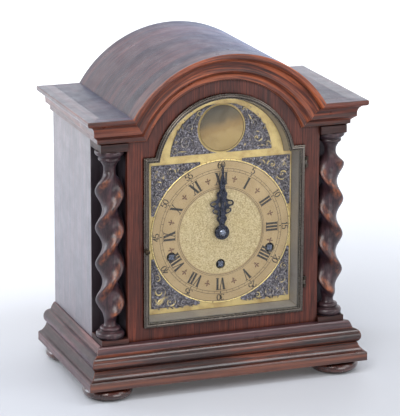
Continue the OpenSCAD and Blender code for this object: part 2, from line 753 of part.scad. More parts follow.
module ratchet_clicks() color("silver")
    for (p = [mid_at, side_at, [-side_at[0], side_at[1]]])
        slab(y_plate - gap - ratchet_t, y_plate) translate([p[0], dial_z + p[1]]) {
            translate([0, -ratchet_r - 5]) circle(2.6);
            polygon([[-2, -ratchet_r - 6], [2.4, -ratchet_r - 6], [8, -ratchet_r - 1.2], [7, -ratchet_r + 0.4]]);
        }

module centre_arbor() color("silver") {
    arbor([0, 0], arbor_r, y_nut + 0.6, y_rear_face);
    wheel([0, 0], third_module, centre_wheel_teeth, third_angle, centre_wheel_y, 1.5);
    wheel([0, 0], time_module, centre_pinion_teeth, -90 + 180 / centre_pinion_teeth, great_wheel_y - 2, great_wheel_t + 4);
    arbor([0, 0], cannon_r, y_minute_hand, y_plate - 0.5);
    slab(y_plate - 3, y_plate - 0.5) translate([0, dial_z]) rotate(motion_angle)
        wheel2d(motion_module, cannon_teeth);
}

module motion_wheel() color("gold") difference() {
    union() {
        slab(y_plate - 2.6, y_plate - 1) translate([motion_at[0], dial_z + motion_at[1]])
            rotate(motion_angle + 180 + 180 / motion_wheel_teeth) wheel2d(motion_module, motion_wheel_teeth);
        slab(y_plate - 7, y_plate - 2.5) translate([motion_at[0], dial_z + motion_at[1]])
            rotate(motion_angle + 180) wheel2d(hour_module, motion_pinion_teeth);
    }
    arbor(motion_at, stud_r + run_gap, y_plate - 9, y_plate);
}

module hour_wheel() color("gold") difference() {
    union() {
        slab(y_plate - 6.4, y_plate - 4.8) translate([0, dial_z])
            rotate(motion_angle + 180 / hour_wheel_teeth) wheel2d(hour_module, hour_wheel_teeth);
        arbor([0, 0], hour_pipe_r, y_hour_hand, y_plate - 4.8);
    }
    arbor([0, 0], cannon_r + run_gap, y_hour_hand - 1, y_plate);
}

// Hands: pierced outline pointing up, from the boss to the tip
module hour_hand() color("darkslateblue") slab(y_hour_hand, y_hour_hand + hand_t) translate([0, dial_z]) {
    difference() {
        union() {
            circle(7.6);
            polygon([[-2.4, 6], [2.4, 6], [3.4, 13], [4.4, 16], [8, 18.5], [9, 22], [6.8, 24], [11, 28],
                [7.4, 32], [4, 33], [5.4, 37.5], [2.6, 41], [1.6, 56], [0, 59], [-1.6, 56], [-2.6, 41],
                [-5.4, 37.5], [-4, 33], [-7.4, 32], [-11, 28], [-6.8, 24], [-9, 22], [-8, 18.5],
                [-4.4, 16], [-3.4, 13]]);
        }
        circle(hour_pipe_r + 0.02);
        for (s = [-1, 1]) {
            translate([s * 4.4, 20.6]) circle(2);
            translate([s * 5.6, 28]) circle(2.4);
        }
        translate([0, 36]) circle(1.6);
    }
}

module minute_hand() color("darkslateblue") slab(y_minute_hand, y_minute_hand + hand_t) translate([0, dial_z])
    difference() {
        union() {
            circle(7.2);
            polygon([[-2, 6], [2, 6], [2.8, 14], [1.8, 24], [1.4, 44], [2.6, 52], [1.2, 60], [0, 70],
                [-1.2, 60], [-2.6, 52], [-1.4, 44], [-1.8, 24], [-2.8, 14]]);
        }
        circle(cannon_r + 0.02);
    }

module hand_nut() color("steelblue") difference() {
    translate([0, y_minute_hand, dial_z]) rotate([90, 0, 0]) rotate_extrude() polygon([
        [0, 0], [3.6, 0], [3.6, 0.9], [2.6, 1.7], [0, 1.9]]);
    arbor([0, 0], arbor_r, y_nut + 0.6 - eps, y_minute_hand + 1);
}

module third_wheel() color("gold") {
    arbor(third_at, thin_arbor_r, y_plate, y_rear_face);
    wheel(third_at, third_module, third_pinion_teeth, third_angle + 180 + 180 / third_pinion_teeth, centre_wheel_y - 1, 3.5);
    wheel(third_at, escape_module, third_wheel_teeth, escape_angle, third_wheel_y, 1.2);
}

module escape_wheel() color("gold") {
    arbor(escape_at, thin_arbor_r, y_plate, y_rear_face);
    wheel(escape_at, escape_module, escape_pinion_teeth, escape_angle + 180 + 180 / escape_pinion_teeth, third_wheel_y - 2, 5);
    wheel(escape_at, 1, 15, 0, escape_wheel_y, 1);
}

bridge_y = 24;
module balance_wheel() color("gold") {
    arbor(balance_at, thin_arbor_r, y_plate_in + bridge_y, y_rear_face);
    slab(y_plate_in + escape_wheel_y, y_plate_in + escape_wheel_y + 1.4)
        translate([balance_at[0], dial_z + balance_at[1]]) {
            difference() {
                circle(balance_r);
                circle(balance_r - 1.6);
            }
            square([2 * balance_r - 2, 2], center = true);
            circle(2.4);
        }
}

module balance_bridge() color("darkkhaki") {
    post = balance_at + [18, 0];
    difference() {
        slab(y_plate_in + bridge_y, y_plate_in + bridge_y + 2) translate([balance_at[0] - 4, dial_z + balance_at[1] - 4])
            square([26, 8]);
        arbor(balance_at, thin_arbor_r + run_gap, y_plate_in, y_rear_plate);
    }
    arbor(post, 2.5, y_plate_in + bridge_y + 2 - eps, y_rear_plate);
}

module side_train(s, at) {
    arbor(at, thin_arbor_r, y_plate, y_rear_face);
    wheel(at, side_module, side_pinion_teeth, (s > 0 ? -side_angle : 180 + side_angle) + 180 / side_pinion_teeth,
        great_wheel_y - 1, great_wheel_t + 2);
}

pin_disc_y = 24;
pin_disc_t = 2;
pin_disc_r = 11.5;
pin_circle_r = 9.8;
pin_reach = 4;
module strike_pin_wheel() color("gold") {
    at = [-pin_wheel_at[0], pin_wheel_at[1]];
    side_train(-1, at);
    y = y_plate_in + pin_disc_y;
    slab(y, y + pin_disc_t) translate([at[0], dial_z + at[1]]) circle(pin_disc_r);
    for (a = [0:45:315])
        arbor(at + pin_circle_r * [cos(a), sin(a)], 0.8, y + pin_disc_t - eps, y + pin_disc_t + pin_reach);
}

chime_drum_y = 18;
chime_drum_r = 9;
module chime_drum() color("gold") {
    side_train(1, pin_wheel_at);
    arbor(pin_wheel_at, chime_drum_r, y_plate_in + chime_drum_y, y_rear_plate - 3);
    for (k = [0:4], a = [0:90:270]) {
        y = y_plate_in + chime_drum_y + 2 + 3.4 * k;
        translate([pin_wheel_at[0], y, dial_z + pin_wheel_at[1]]) rotate([0, a + 18 * k, 0])
            translate([chime_drum_r - 0.2, 0, 0]) rotate([0, 90, 0]) cylinder(r = 0.6, h = 1.8, $fn = 24);
    }
}

// Chime hammer: hub on the hammer shaft, flat arm and round head above its rod
module hammer(i) {
    y = rod_y0 + rod_pitch * (i - 1);
    difference() {
        union() {
            rod(hammer_at[0], hammer_at[1], 3.6, y - 2.4, y + 2.4);
            slab(y - 0.8, y + 0.8) polygon([hammer_at + [-1.5, 2], hammer_at + [2, 2],
                hammer_head + [2, hammer_head_h - 2], hammer_head + [-2, hammer_head_h - 4]]);
            translate([hammer_head[0], y, hammer_head[1]]) cylinder(r = 3.4, h = hammer_head_h);
        }
        rod(hammer_at[0], hammer_at[1], hammer_shaft_r + run_gap, y - 5, y + 5);
    }
}

module hammer_1() color("gray") hammer(1);
module hammer_2() color("gray") hammer(2);
module hammer_3() color("gray") hammer(3);
module hammer_4() color("gray") hammer(4);

module chime_rods() color("dimgray") {
    translate([rod_x, rod_y0 - 8, board_top]) cube([16, rod_pitch * (rod_count - 1) + 16, rod_z + 8 - board_top]);
    for (i = [0:rod_count - 1]) translate([rod_x, rod_y0 + rod_pitch * i, rod_z]) rotate([0, -90, 0])
        translate([0, 0, -2]) cylinder(r = rod_r, h = 150 - 12 * i + 2);
}

bun_feet();
base_board();
base_moulding_front();
base_moulding_sides();
pedestal_blocks();
side_panel_left();
side_panel_right();
front_panel();
corner_posts();
column_left();
column_right();
frieze_blocks();
cornice_fronts();
cornice_sides();
arch_moulding();
shoulder_boards();
vault_roof();
back_frame();
rear_door();
rear_door_leaves();
rear_frame_leaves();
rear_turn_button();
seat_board();
bezel_frame();
door_glass();
bezel_hinges();
bezel_knob();
dial_plate();
sight_surround();
chapter_ring();
dial_centre();
corner_spandrels();
arch_spandrels();
arch_boss();
front_plate();
back_plate();
time_barrel();
strike_barrel();
chime_barrel();
time_winder();
strike_winder();
chime_winder();
ratchet_clicks();
centre_arbor();
motion_wheel();
hour_wheel();
hour_hand();
minute_hand();
hand_nut();
third_wheel();
escape_wheel();
balance_wheel();
balance_bridge();
strike_pin_wheel();
chime_drum();
hammer_1();
hammer_2();
hammer_3();
hammer_4();
chime_rods();
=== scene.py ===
"""Looks of the break-arch table clock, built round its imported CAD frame. Metres, in the frame of the CAD."""

import random
from math import asin, atan2, cos, degrees, hypot, pi, radians, sin, sqrt

import bmesh
import bpy
from mathutils import Matrix, Vector


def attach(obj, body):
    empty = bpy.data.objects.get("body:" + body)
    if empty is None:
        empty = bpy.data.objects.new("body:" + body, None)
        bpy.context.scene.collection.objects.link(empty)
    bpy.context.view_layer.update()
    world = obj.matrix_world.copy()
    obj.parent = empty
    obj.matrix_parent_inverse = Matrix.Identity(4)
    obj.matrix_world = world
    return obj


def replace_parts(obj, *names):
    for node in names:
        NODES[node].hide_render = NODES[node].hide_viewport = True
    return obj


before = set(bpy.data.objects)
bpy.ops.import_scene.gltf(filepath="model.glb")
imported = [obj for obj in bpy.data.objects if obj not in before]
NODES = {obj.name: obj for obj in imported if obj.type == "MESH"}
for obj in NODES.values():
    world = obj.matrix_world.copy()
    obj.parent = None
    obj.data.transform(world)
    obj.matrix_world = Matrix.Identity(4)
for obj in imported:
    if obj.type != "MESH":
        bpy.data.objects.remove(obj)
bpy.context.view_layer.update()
MM = 0.001
PER_MM = 1000.0

# Planes and centres of the CAD, in millimetres
DIAL_Z, ARCH_Z, BOSS_Z = 155.0, 223.0, 260.3
Y_DIAL, Y_RING = -54.4, -55.3

# The camera, solved from the photograph's edges: degrees, millimetres and pixels
YAW, DOWN, ROLL = 20.42, 15.66, 0.26
AIM = (0.0, 3.85, 163.85)
OFF_SIDE, OFF_TOP, DISTANCE = 0.18, -0.38, 2553.05
FOCAL_PIXELS, PHOTO_HEIGHT = 2529.71, 416.0
SENSOR = 36.0


def place_camera():
    yaw, pitch, roll = (radians(a) for a in (YAW, DOWN, ROLL))
    forward = Vector((sin(yaw) * cos(pitch), cos(yaw) * cos(pitch), -sin(pitch)))
    right = Vector((cos(yaw), -sin(yaw), 0.0))
    up = right.cross(forward)
    side = cos(roll) * right + sin(roll) * up
    top = -sin(roll) * right + cos(roll) * up
    where = Vector(AIM) * MM - (OFF_SIDE * side - OFF_TOP * top + DISTANCE * forward) * MM
    cam = bpy.data.objects.new("camera", bpy.data.cameras.new("camera"))
    bpy.context.scene.collection.objects.link(cam)
    turn = Matrix((side, top, -forward)).transposed()
    cam.matrix_world = Matrix.Translation(where) @ turn.to_4x4()
    cam.data.sensor_width = SENSOR
    cam.data.lens = FOCAL_PIXELS * SENSOR / PHOTO_HEIGHT
    cam.data.clip_start, cam.data.clip_end = 0.05, 50.0
    bpy.context.scene.camera = cam


place_camera()


# Colours
def srgb(r, g, b):
    """A colour given as 0 to 255 display values, as linear values."""
    def one(c):
        c /= 255.0
        return c / 12.92 if c <= 0.04045 else ((c + 0.055) / 1.055) ** 2.4
    return (one(r), one(g), one(b))


def shade(colour, share):
    """A linear colour made darker or lighter."""
    return tuple(min(1.0, share * v) for v in colour)


def rgba(colour):
    """Linear values with alpha, from a grey, a linear colour or a colour of whole display values."""
    if isinstance(colour, float):
        return (colour, colour, colour, 1.0)
    return (*(srgb(*colour) if isinstance(colour[0], int) else colour), 1.0)


# Node trees
class Tree:
    """A material being built: short calls for the nodes it needs. Lengths are metres."""

    def __init__(self, name):
        self.mat = bpy.data.materials.new(name)
        self.mat.use_nodes = True
        self.nt = self.mat.node_tree
        self.nt.nodes.clear()
        self.out = self.nt.nodes.new("ShaderNodeOutputMaterial")
        self.bsdf = self.nt.nodes.new("ShaderNodeBsdfPrincipled")
        self.nt.links.new(self.bsdf.outputs[0], self.out.inputs[0])
        self.place = self.nt.nodes.new("ShaderNodeTexCoord").outputs["Object"]

    def put(self, socket, value):
        if isinstance(value, bpy.types.NodeSocket):
            self.nt.links.new(value, socket)
        else:
            socket.default_value = value

    def node(self, kind, props=None, *values, **inputs):
        """A node with properties, and inputs given in order or by name."""
        made = self.nt.nodes.new(kind)
        for k, v in (props or {}).items():
            setattr(made, k, v)
        for k, v in [*enumerate(values), *inputs.items()]:
            self.put(made.inputs[k], v)
        return made

    def shader(self, **values):
        for k, v in values.items():
            self.put(self.bsdf.inputs[k.replace("_", " ")], v)
        return self.mat

    def math(self, op, a, b=0.0):
        return self.node("ShaderNodeMath", {"operation": op}, a, b).outputs[0]

    def times(self, a, b):
        return self.math("MULTIPLY", a, b)

    def plus(self, a, b):
        return self.math("ADD", a, b)

    def minus(self, a, b):
        return self.math("SUBTRACT", a, b)

    def split(self, vector):
        return self.node("ShaderNodeSeparateXYZ", Vector=vector).outputs

    def joined(self, *parts):
        return self.node("ShaderNodeCombineXYZ", None, *parts).outputs[0]

    def facing(self):
        """The three parts of the surface's direction."""
        return self.split(self.node("ShaderNodeNewGeometry").outputs["Normal"])

    def frontal(self):
        """How far the surface looks to the front."""
        return self.times(self.facing()[1], -1.0)

    def polar(self, z):
        """Distance from a line along Y at height z in millimetres, and the angle about it from straight up."""
        parts = self.split(self.place)
        up = self.minus(parts[2], z * MM)
        reach = self.math("SQRT", self.plus(self.times(parts[0], parts[0]), self.times(up, up)))
        return reach, self.math("ARCTAN2", parts[0], up)

    def noise(self, scale, detail, rough, warp=0.0, at=None):
        return self.node("ShaderNodeTexNoise", Vector=at or self.place, Scale=scale, Detail=detail, Roughness=rough,
                         Distortion=warp).outputs["Fac"]

    def streaks(self, at, scale, detail, rough, warp=0.0):
        """Noise with a scale of its own along each axis."""
        scaled = self.node("ShaderNodeMapping", Vector=at, Scale=scale).outputs[0]
        return self.noise(1.0, detail, rough, warp, scaled)

    def rise(self, fac, low, high, share=1.0):
        """From 0 at low to a share at high."""
        return self.ramp(fac, (low, 0.0), (high, share))

    def ramp(self, fac, *stops):
        """Stops of (position, colour or grey)."""
        n = self.node("ShaderNodeValToRGB", None, fac)
        els = n.color_ramp.elements
        while len(els) < len(stops):
            els.new(0.5)
        for e, (place, colour) in zip(els, stops):
            e.position, e.color = place, rgba(colour)
        return n.outputs[0]

    def mix(self, fac, a, b):
        n = self.node("ShaderNodeMix", {"data_type": "RGBA"}, fac)
        for socket, v in ((n.inputs[6], a), (n.inputs[7], b)):
            self.put(socket, rgba(v) if isinstance(v, tuple) else v)
        return n.outputs[2]

    def bump(self, height, distance, strength, normal=None):
        under = {"Normal": normal} if normal else {}
        return self.node("ShaderNodeBump", Strength=strength, Distance=distance, Height=height, **under).outputs[0]

    def edges(self, radius):
        """How near the point is to an edge, from 0 to 1, and the rounded direction of the surface."""
        soft = self.node("ShaderNodeBevel", {"samples": 4}, Radius=radius).outputs[0]
        flat = self.node("ShaderNodeNewGeometry").outputs["Normal"]
        dot = self.node("ShaderNodeVectorMath", {"operation": "DOT_PRODUCT"}, soft, flat).outputs["Value"]
        return self.rise(self.minus(1.0, dot), 0.01, 0.12), soft

    def crevice(self, distance):
        """How deep the point lies in a corner or groove, from 0 to 1."""
        open_share = self.node("ShaderNodeAmbientOcclusion", {"samples": 6}, Distance=distance).outputs["AO"]
        return self.ramp(open_share, (0.3, 1.0), (0.85, 0.0))


# Woods
ROOF_BEND, ARCH_BEND = 0.115, 0.11
DRIFT, DRIFT_WAVES = 0.002, 3.1
TOP_TONES = ((42, 26, 25), (68, 44, 41), (98, 66, 60))
TOP_HAZE = 0.26
FRONT_SHADE = (34, 27, 33)
COOL, SKY, PALE_SKY = (0.3, 0.5, 1.0), (0.66, 0.78, 1.0), (0.4, 0.58, 1.0)


def along_grain(t, axis):
    """The place with the grain's direction first."""
    parts = t.split(t.place)
    if axis == "roof":
        # grain bent round the vault
        turn = t.polar(ARCH_Z)[1]
        return t.joined(t.times(turn, ROOF_BEND), parts[1], t.times(parts[1], 0.3))
    if axis == "arch":
        # grain that follows the arch and drifts outwards along it
        reach, turn = t.polar(ARCH_Z)
        drift = t.times(t.math("SINE", t.times(turn, DRIFT_WAVES)), DRIFT)
        return t.joined(t.times(turn, ARCH_BEND), t.plus(reach, drift), parts[1])
    return t.joined(*(parts[i] for i in {"x": (0, 1, 2), "y": (1, 0, 2), "z": (2, 0, 1)}[axis]))


def outward(t, axis):
    """How far the surface looks up, or away from the arch's centre."""
    facing = t.facing()
    if axis != "arch":
        return facing[2]
    turn = t.polar(ARCH_Z)[1]
    return t.plus(t.times(facing[0], t.math("SINE", turn)), t.times(facing[2], t.math("COSINE", turn)))


def wood(name, axis, tones, stripe=300.0, figure=45.0, contrast=1.0, broad=0.45, blotch=0.35, relief=0.00006,
         rough=0.34, coat=0.6, coat_rough=0.18, spec=0.5, haze=0.0, haze_tint=(0.8, 0.8, 1.0), wear_and_highlight=0.5, edge=0.0006,
         hollow=0.005, joints=(), bands=(), pale_top=False, painted_front_shade=False):
    """Polished hardwood with bands, fine stripes, pores, old polish, edges lightened as rubbed wood and painted
    highlight, and painted shade in corners and grooves.

    tones are dark, middle and light. joints are (axis, metres from the middle) of dark seams on both sides. bands
    are (low, high, share, deep, pale), with heights in millimetres. Colours are display values.
    """
    t = Tree(name)
    dark, mid, light = (srgb(*c) for c in tones)
    g = along_grain(t, axis)
    wide = t.streaks(g, (figure * 0.09, figure, figure), 3.0, 0.55, 0.7)
    fine = t.streaks(g, (stripe * 0.03, stripe, stripe), 4.0, 0.6, 0.3)
    fibre = t.streaks(g, (70.0, 1500.0, 1500.0), 2.0, 0.5)
    pores = t.ramp(t.streaks(g, (110.0, 1900.0, 1900.0), 1.0, 0.5), (0.30, 1.0), (0.40, 0.0))
    band = t.plus(t.times(wide, broad), t.times(fine, 1.0 - broad))
    spread = 0.17 / contrast
    stops = (0.5 - spread, 0.5, 0.5 + spread)
    colour = t.ramp(band, *zip(stops, (dark, mid, light)))
    colour = t.mix(t.times(pores, 0.5), colour, shade(dark, 0.35))
    colour = t.mix(t.rise(fibre, 0.35, 0.75, 0.25), colour, light)
    age = t.streaks(t.place, (17.0, 17.0, 17.0), 4.0, 0.6)
    colour = t.mix(t.ramp(age, (0.38, blotch), (0.62, 0.0)), colour, shade(dark, 0.5))
    if pale_top:
        upward = t.rise(outward(t, axis), 0.9, 0.97)
        colour = t.mix(upward, colour, t.ramp(band, *zip(stops, TOP_TONES)))
        haze = t.ramp(upward, (0.0, haze), (1.0, TOP_HAZE))
    # Edges are lightened: rubbed wood, and painted highlight.
    worn, soft = t.edges(edge)
    rub_and_highlight = t.times(worn, t.ramp(t.noise(90.0, 3.0, 0.6), (0.35, 0.15), (0.65, wear_and_highlight)))
    colour = t.mix(rub_and_highlight, colour, shade(light, 1.5))
    # Painted shade: corners and grooves are darkened nearly to black, and lose coat and specular in the shader below.
    hidden = t.crevice(hollow)
    colour = t.mix(t.times(hidden, 0.8), colour, shade(dark, 0.2))
    parts = t.split(t.place)
    for number, at in joints:
        off = t.math("ABSOLUTE", t.minus(t.math("ABSOLUTE", parts[number]), at))
        colour = t.mix(t.ramp(t.times(off, PER_MM), (0.25, 0.85), (0.6, 0.0)), colour, shade(dark, 0.25))
    height = t.times(parts[2], 10.0)
    for low, high, share, deep, pale in bands:
        # the ramp runs over the lowest 100 mm, with 0.2 mm of blur at each end of the band
        inside = t.ramp(height, (low * 0.01 - 0.002, 0.0), (low * 0.01 + 0.002, share),
                        (high * 0.01 - 0.002, share), (high * 0.01 + 0.002, 0.0))
        colour = t.mix(inside, colour, t.ramp(fine, (0.36, deep), (0.62, pale)))
    # Painted shade: faces that look to the front are darkened, as in the recess behind the columns.
    if painted_front_shade:
        colour = t.mix(t.rise(t.frontal(), 0.6, 0.8, 0.92), colour, FRONT_SHADE)
    smear = t.streaks(t.place, (60.0, 60.0, 60.0), 3.0, 0.6)
    normal = t.bump(pores, relief * 0.8, 0.5, t.bump(fibre, relief, 0.8, soft))
    t.shader(Base_Color=colour, Roughness=t.ramp(smear, (0.3, max(0.05, rough - 0.07)), (0.7, rough + 0.1)),
             Normal=normal, Coat_Roughness=coat_rough, Coat_Normal=t.bump(smear, 0.0003, 0.25, soft),
             Specular_IOR_Level=t.ramp(hidden, (0.0, spec), (0.8, 0.03)))
    if coat:
        t.shader(Coat_Weight=t.ramp(hidden, (0.0, coat), (0.7, 0.0)))
    if haze:
        t.shader(Sheen_Weight=haze, Sheen_Roughness=0.35, Sheen_Tint=(*haze_tint, 1.0))
    return t.mat


# Metals
def metal(name, colour, spot, rough=0.28, tarnish=0.5, brush=(400.0, 400.0, 400.0), shine=None, edge=0.0004,
          metallic=1.0, grime=0.6):
    """Metal with fine brushing, tarnish in patches and bright edges, as rubbed metal and painted highlight. Colours
    are display values.
    """
    t = Tree(name)
    colour, spot = srgb(*colour), srgb(*spot)
    lines = t.streaks(t.place, brush, 4.0, 0.6)
    patch = t.noise(55.0, 5.0, 0.65, 0.4)
    base = t.mix(t.rise(patch, 0.42, 0.72, tarnish), colour, spot)
    # Edges are brightened: rubbed metal, and painted highlight.
    worn, soft = t.edges(edge)
    base = t.mix(t.times(worn, 0.8), base, shine or shade(colour, 1.35))
    base = t.mix(t.times(t.crevice(0.002), grime), base, shade(spot, 0.15))
    level = t.plus(t.times(lines, 0.5), t.times(patch, 0.5))
    dull = t.ramp(level, (0.3, max(0.04, rough - 0.08)), (0.7, rough + 0.12))
    return t.shader(Base_Color=base, Metallic=metallic, Roughness=dull, Normal=t.bump(lines, 0.00003, 0.7, soft))


def ring_metal():
    """Dial metal: circular brushing round the hand arbor and cloudy lacquer."""
    t = Tree("ring_brass")
    colour, spot = srgb(187, 160, 121), srgb(158, 131, 94)
    reach, turn = t.polar(DIAL_Z)
    lines = t.noise(1.0, 3.0, 0.6, at=t.joined(t.times(reach, 1400.0), t.times(turn, 2.0)))
    patch = t.noise(45.0, 5.0, 0.65, 0.5)
    base = t.mix(t.rise(patch, 0.4, 0.72, 0.5), colour, spot)
    base = t.mix(t.ramp(lines, (0.35, 0.25), (0.6, 0.0)), base, spot)
    specks = t.noise(900.0, 2.0, 0.5)
    base = t.mix(t.rise(specks, 0.60, 0.72, 0.3), base, shade(spot, 0.3))
    return t.shader(Base_Color=base, Metallic=0.55, Roughness=t.ramp(patch, (0.3, 0.38), (0.7, 0.5)),
                    Normal=t.bump(lines, 0.00002, 0.5))


def matt_gold():
    """The dial's matted centre: fine punched dots over gilding."""
    t = Tree("matt_gold")
    dots = t.node("ShaderNodeTexVoronoi", Vector=t.place, Scale=1000.0).outputs["Distance"]
    fine_speckle = t.noise(1300.0, 3.0, 0.7)
    cloud = t.noise(40.0, 4.0, 0.6)
    mottle = t.noise(900.0, 2.0, 0.6)
    colour = t.ramp(mottle, (0.32, (158, 135, 94)), (0.5, (196, 175, 134)), (0.7, (220, 200, 164)))
    colour = t.mix(t.rise(fine_speckle, 0.58, 0.7, 0.5), colour, (120, 100, 62))
    colour = t.mix(t.rise(cloud, 0.4, 0.75, 0.35), colour, (190, 164, 110))
    return t.shader(Base_Color=colour, Metallic=0.4, Roughness=0.52,
                    Normal=t.bump(t.plus(dots, t.times(fine_speckle, 0.5)), 0.0001, 0.7))


def cast_metal():
    """Old cast spandrels: dark in the ground, brass on the high parts as rubbed gilding and painted highlight, with
    fine specks of painted glint and painted shade.
    """
    t = Tree("cast_spandrel")
    high = t.times(t.minus(Y_DIAL * MM, t.split(t.place)[1]), PER_MM)
    fine_speckle = t.noise(480.0, 3.0, 0.6)
    patch = t.noise(190.0, 3.0, 0.6)
    level = t.plus(t.times(high, 0.4), t.times(t.minus(patch, 0.5), 0.5))
    colour = t.ramp(level, (0.1, (64, 59, 68)), (0.45, (104, 97, 104)), (0.85, (146, 136, 132)))
    # Pale specks are painted glints and dark specks painted shade, for cast detail too fine to show.
    speck = t.noise(620.0, 2.0, 0.6)
    colour = t.mix(t.rise(speck, 0.5, 0.62, 0.65), colour, (188, 182, 194))
    colour = t.mix(t.rise(fine_speckle, 0.5, 0.62, 0.75), colour, (34, 29, 40))
    # Gold on the high parts: rubbed gilding, and painted highlight.
    rub_and_glint = t.times(t.rise(t.noise(170.0, 2.0, 0.5), 0.54, 0.6), t.rise(level, 0.5, 0.72))
    colour = t.mix(rub_and_glint, colour, (214, 190, 136))
    colour = t.mix(t.times(t.crevice(0.0015), 0.7), colour, (22, 20, 28))
    return t.shader(Base_Color=colour, Metallic=0.6, Roughness=t.ramp(level, (0.2, 0.55), (0.9, 0.34)),
                    Normal=t.bump(t.plus(fine_speckle, speck), 0.00008, 0.8))


def boss_metal():
    """Gilt disc with the turner's rings, darker towards the top and the left: a painted reflection."""
    t = Tree("boss_brass")
    parts = t.split(t.place)
    up = t.minus(parts[2], BOSS_Z * MM)
    reach = t.polar(BOSS_Z)[0]
    rings = t.noise(1.0, 3.0, 0.6, at=t.joined(t.times(reach, 1600.0)))
    cloud = t.noise(60.0, 4.0, 0.6, 0.5)
    # Painted reflection: the disc darkens towards the top and the left.
    high = t.plus(t.plus(t.times(up, 26.0), t.times(parts[0], -7.0)), t.times(t.minus(cloud, 0.5), 0.3))
    colour = t.ramp(t.plus(high, 0.5), (0.1, (176, 148, 100)), (0.38, (170, 142, 96)), (0.46, (154, 125, 82)),
                    (0.58, (136, 110, 76)), (0.72, (96, 84, 66)), (1.0, (76, 68, 58)))
    colour = t.mix(t.rise(cloud, 0.5, 0.75, 0.4), colour, (120, 90, 54))
    # the ramps run over 40 mm: the dark groove at 22.6 mm and the bright rim from 23.3 mm
    wide = t.times(reach, 25.0)
    colour = t.mix(t.rise(wide, 0.565, 0.5725, 0.85), colour, (52, 38, 24))
    colour = t.mix(t.rise(wide, 0.581, 0.585), colour, (206, 178, 118))
    return t.shader(Base_Color=colour, Metallic=0.6, Roughness=t.ramp(cloud, (0.3, 0.34), (0.7, 0.48)),
                    Normal=t.bump(rings, 0.00002, 0.5))


# Glass, wax and the columns' wood
def clear_glass():
    """Thin old glass: clear, with faint reflections."""
    t = Tree("door_glass")
    face = t.node("ShaderNodeFresnel", IOR=1.45).outputs[0]
    behind = t.node("ShaderNodeNewGeometry").outputs["Backfacing"]
    clear = t.node("ShaderNodeBsdfTransparent", Color=(0.97, 0.98, 0.97, 1.0))
    shine = t.node("ShaderNodeBsdfGlossy", Roughness=0.04)
    share = t.times(t.times(face, 0.9), t.minus(1.0, behind))
    mixed = t.node("ShaderNodeMixShader", None, share, clear.outputs[0], shine.outputs[0])
    t.put(t.out.inputs[0], mixed.outputs[0])
    t.nt.nodes.remove(t.bsdf)
    return t.mat


def wax_fill(name, rough, *stops):
    """Engraver's wax in the figures, slightly worn. The stops are (wear, colour)."""
    t = Tree(name)
    worn = t.noise(320.0, 4.0, 0.65)
    return t.shader(Base_Color=t.ramp(worn, *stops), Roughness=rough, Normal=t.bump(worn, 0.00003, 0.5))


def twist_material():
    """Turned and carved wood: dark and hazy, red where the strands cross the front as rubbed crests and painted
    light, with painted shade in the hollows.
    """
    t = Tree("twist_wood")
    high = t.node("ShaderNodeAttribute", {"attribute_name": "ridge"}).outputs["Fac"]
    g = along_grain(t, "z")
    fine = t.streaks(g, (16.0, 300.0, 300.0), 4.0, 0.6, 0.4)
    fibre = t.streaks(g, (60.0, 1500.0, 1500.0), 2.0, 0.5)
    patch = t.noise(70.0, 4.0, 0.6, 0.3)
    level = t.plus(t.times(patch, 0.5), t.times(fine, 0.5))
    colour = t.ramp(level, (0.36, (24, 14, 20)), (0.5, (44, 27, 34)), (0.64, (74, 48, 53)))
    # Red on the crests that face the front: rubbed crests, and painted light.
    red = t.times(t.rise(high, 0.45, 0.85), t.rise(t.frontal(), 0.5, 0.85))
    red = t.times(red, t.ramp(t.noise(110.0, 3.0, 0.6), (0.4, 0.1), (0.6, 0.9)))
    colour = t.mix(red, colour, t.ramp(fine, (0.36, (72, 34, 24)), (0.6, (150, 84, 48))))
    # Painted shade: hollows darkened nearly to black, and their coat taken away in the shader below.
    hidden = t.crevice(0.008)
    colour = t.mix(t.times(hidden, 0.8), colour, (10, 6, 7))
    colour = t.mix(t.rise(fibre, 0.4, 0.75, 0.25), colour, (100, 72, 60))
    return t.shader(Base_Color=colour, Roughness=t.ramp(patch, (0.3, 0.32), (0.7, 0.46)),
                    Normal=t.bump(fibre, 0.0001, 0.8), Coat_Weight=t.ramp(hidden, (0.0, 0.4), (0.6, 0.02)),
                    Coat_Roughness=0.2, Specular_IOR_Level=0.3, Sheen_Weight=0.06, Sheen_Roughness=0.35,
                    Sheen_Tint=(0.55, 0.6, 1.0, 1.0))


# The CAD pieces and their materials
def dress(material, *names):
    for name in names:
        mesh = NODES[name].data
        mesh.materials.clear()
        mesh.materials.append(material)
    return material


ROOF = dict(stripe=420.0, haze_tint=COOL, relief=0.00014, hollow=0.009)
MOULDING = dict(contrast=1.8, wear_and_highlight=0.6, spec=0.4, hollow=0.007, haze_tint=COOL, pale_top=True)
BASE = dict(figure=60.0, coat_rough=0.09, wear_and_highlight=0.9, edge=0.0014)

